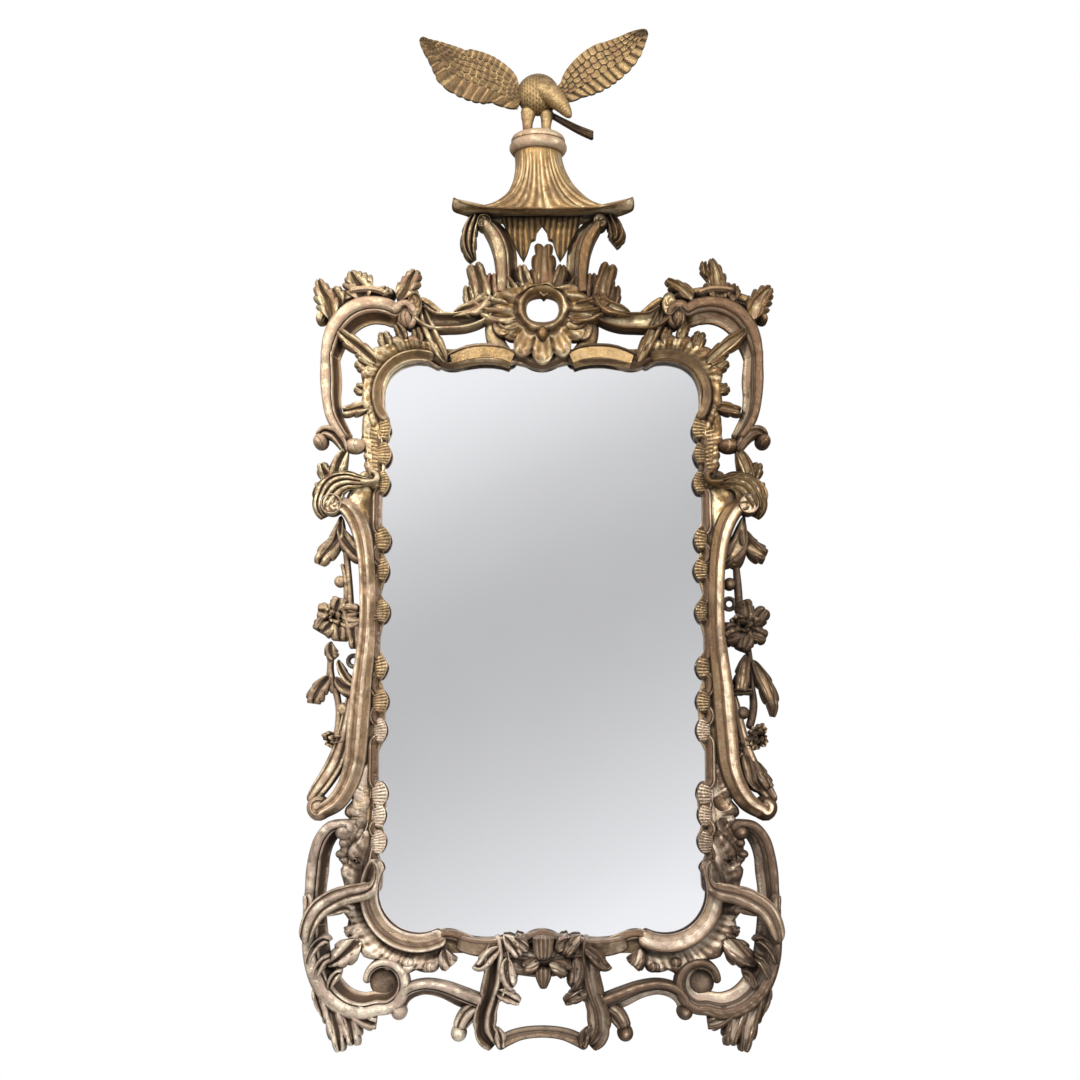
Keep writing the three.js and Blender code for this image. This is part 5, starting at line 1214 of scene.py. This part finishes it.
def large_petals(x, z, plan, side):
    """Bent leaves round a flower's heart, one for each pair of turn and length in the plan."""
    petals = []
    for k, (turn, length) in enumerate(plan):
        c, s = np.cos(np.radians(turn)), np.sin(np.radians(turn))
        bend = 0.25 * np.sin(2.0 * k + side)
        route = [(x + 4 * c, z + 4 * s, 9)]
        for share, sway, half in ((0.45, 0, 15), (0.78, 1, 13), (1.05, 1.5, 3)):
            reach, turned = share * length, sway * bend
            route.append((x + reach * (c - turned * s), z + reach * (s + turned * c), half))
        petals.append(strand(route, flame(1, 0.25 * (-1) ** k, k), 26, 50 + 3 * (k % 3), lobes=(2, 2),
                             notch=(0.2, 0.2), lean=0.6, sharp=True, curl=(0, 6 * (k % 2)), thin=True,
                             pace=1.4))
    return petals


for name, side in BOTH:
    plan = GARLAND[name]
    shells = [leaf(s, 3, 0.26, 27, 51, curl=6) for s in plan["leaves"]]
    shells += [strand(s, ROUND, 30, 44, around=14, pace=2.5) for s in plan["stems"]]
    shells += large_petals(*plan["flowers"][0][:2], plan["petals"], side)
    for k, (x, z, ru, rz) in enumerate(plan["flowers"]):
        part, front = (1, 52) if k else (0.62, 60)
        shells.append(blossom(x, z, ru * part, rz * part, back=25, front=front, petals=4,
                              turn=0.5 * k + 0.3 * side, seed=2.0 * k + side))
    shells += [button(*b, back=30, front=47, rows=10, cols=24) for b in plan["berries"]]
    piece("flower_garland_" + name, shells, gilt_dark, ["garland_" + name], side)

# %% [markdown]
# ## The hanging rings
# Each ring is a bent brass rod with an eye that turns on a pin between the ears of its plate. It could be
# a new torus, but the imported solid is already round and true, so the rings keep their solids and only
# get their brass further down. Nothing else hangs on them.

# %% [markdown]
# ## The sight moulding
# A thin carved moulding lines the glass. It follows the opening of the frame: long sides with small
# lobes, round ears at the corners. Its section has a lip at the glass, a cove, and a rounded outer edge.
# A curve with a bevel object could carry it; a closed grid is used, because its outline is then the same
# plain function that says where the tufts sit.

# %% Sight moulding
SIDE_LOBES = [333, 293, 248, 158, 111, 46, -40, -92, -136, -232, -264, -304]
END_LOBES = [-142, 0, 142]


def humps(at, places, half):
    """How far the lobes stand out at a place: a parabola over each, nothing between."""
    gap = (at[:, None] - np.array(places, float)[None]) / half
    return np.maximum(0, (1 - gap ** 2).max(1))


def opening():
    """The outline of the opening, clockwise from the middle of its top edge, read every 2 mm and
    smoothed once over five points."""
    def arc(centre, radius, first, last, count):
        turn = np.radians(np.linspace(first, last, count))
        return np.stack([centre[0] + radius * np.cos(turn), centre[1] + radius * np.sin(turn)], 1)
    z, top, low = np.linspace(339, -322, 330), np.linspace(0, 153, 70), np.linspace(150, 0, 70)
    half = np.concatenate([
        np.stack([top, 443 - 14 * humps(top, END_LOBES, 34)], 1), arc(EAR, EAR_RADIUS, 118, -36, 80),
        np.stack([250 - 14 * humps(z, SIDE_LOBES, 19), z], 1), arc(LOW_EAR, LOW_EAR_RADIUS, 34, -116, 90),
        np.stack([low, -447 + 14 * humps(low, END_LOBES, 34)], 1)])
    whole = np.concatenate([half, (half * [-1, 1])[::-1], half[:1]])
    run = np.r_[0, np.cumsum(np.hypot(*np.diff(whole, axis=0).T))]
    even = np.arange(0, run[-1], 2.0)
    points = np.stack([np.interp(even, run, whole[:, k]) for k in (0, 1)], 1)
    print("opening points", len(points), "length", round(run[-1]))
    return sum(w * np.roll(points, k, 0) for w, k in zip(np.array([1, 2, 3, 2, 1]) / 9, range(-2, 3)))


def loop_moulding(section):
    """The section carried round the opening: across counts outwards from the edge, depth forwards."""
    line = opening()
    way = unit(np.roll(line, -1, 0) - np.roll(line, 1, 0))
    out = np.stack([-way[:, 1], way[:, 0]], 1)
    out = unit(sum(np.roll(out, k, 0) for k in range(-3, 4)))
    across, depth = np.array(section, float).T
    place = line[:, None] + out[:, None] * across[None, :, None]
    return loop_skin(np.stack([place[..., 0], -depth[None] + 0 * place[..., 0], place[..., 1]], -1))


SIGHT = [(0.3, 34.2), (0.5, 36), (1.6, 38.6), (3.6, 41.4), (5.8, 43.2), (8.0, 43.6), (9.6, 42.6), (10.6, 40.4),
         (11.4, 39.6), (12.8, 40.4), (14.2, 40.0), (15, 38), (15.2, 34.2)]
piece("sight_moulding", [loop_moulding(SIGHT)], gilt_worn)

# %% [markdown]
# On each small lobe of the opening sits a carved tuft with fine reeds. An array modifier could repeat
# one; here a loop makes each a little different, as the carver's are. Low ones have the dull gilding.

# %% Tufts
def ribbed(count, depth):
    """A rounded tuft with fine reeds across it."""
    def relief(a, t):
        reed = np.abs(np.cos(np.pi * (count * t + 0.25 * a)))
        swell = 0.98 - 0.42 * np.clip(-a, -0.2, 1) ** 2 - 0.25 * np.clip(a - 0.5, 0, 1)
        return swell * (1 - depth + depth * reed ** 0.7)
    return relief


TUFTS, LOW_TUFTS = [], []
for _, side in BOTH:
    for k, z in enumerate(SIDE_LOBES):
        shift, swell = 0.6 * np.sin(5 * k + 3 * side), 1 + 0.12 * np.sin(3 * k + side)
        shape = [(u + shift, z + rise, w * swell)
                 for u, rise, w in ((250, 19, 4), (248, 10, 9), (247, 0, 11), (248, -10, 9), (250, -19, 4))]
        tuft = strand(shape, ribbed(8 + k % 3, 0.10), FRAME_FACE, 44.5 + k % 2, lobes=(8 + k % 3, 0),
                      notch=(0.12, 0), pace=1.0, around=24, flip=True)
        (TUFTS if z > -100 else LOW_TUFTS).append(sided(tuft, side))
    TUFTS.append(sided(strand([(262, 338, 8), (262, 300, 9), (261, 262, 9), (259, 236, 7)], ribbed(16, 0.12),
                              FRAME_FACE, 45, lobes=(0, 9), notch=(0, 0.14)), side))
piece("sight_tufts", TUFTS, gilt_feather)
piece("low_sight_tufts", LOW_TUFTS, gilt_low)

# %% [markdown]
# Two low moulded arches run along the top of the glass. They belong to the top rail and could be cut
# into it; a strand on its face is simpler and carries the same section round the curve.

# %% Top arches
ARCHED = profile((-1, .5), (-.93, .9), (-.82, 1), (-.70, .9), (-.60, .62), (-.3, .48), (.1, .46), (.34, .60),
                 (.46, .78), (.62, .84), (.85, .66), (1, .35))
TOP_MOULD = [(150, 440, 9), (134, 446, 13), (114, 451, 15), (90, 453, 16), (64, 451, 15), (44, 445, 11)]
# The arches are in dark gilding, painted shade in their cove.
piece("top_arches", [sided(strand(TOP_MOULD, ARCHED, 34.2, 49.5, extend=(3, 5)), side) for _, side in BOTH],
      gilt_dark)

# %% [markdown]
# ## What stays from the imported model
# The plain joinery, the plate, the backboards, the rings, their plates and the screws keep their solids
# and get their materials. They could be built again, but sawn wood and flat glass are as plain as this.

# %% Finishes for the kept solids
FINISHES = {"stile": gilt_side, "rail": gilt_side, "mirror": plate_finish, "backboard": wood_finish,
            "glazing": wood_finish, "ring_plate": brass_finish, "hanging": brass_finish, "screw": brass_finish}
for label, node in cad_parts.items():
    for start, finish in FINISHES.items():
        if label.startswith(start):
            node.data.materials.clear()
            node.data.materials.append(finish)
            print("kept", label, finish.name)

# %% [markdown]
# ## The floor
# The glass hangs on a wall, so nothing stands on the floor. A small pale plane far below the frame is
# enough; a room could be built, but it would show in the plate.

# %% Floor
bpy.ops.mesh.primitive_plane_add(size=1.6, location=(0, -0.2, -1.25))
floor = bpy.context.object
floor.name = "floor"
paint, tree, shader = tree_of("pale_floor")
put(tree, shader.inputs["Base Color"], blend(tree, grain(tree, 9, 3), (0.80, 0.80, 0.80), (0.84, 0.84, 0.83)))
shader.inputs["Roughness"].default_value = 0.8
floor.data.materials.append(paint)
print("floor at", tuple(round(v, 2) for v in floor.location))
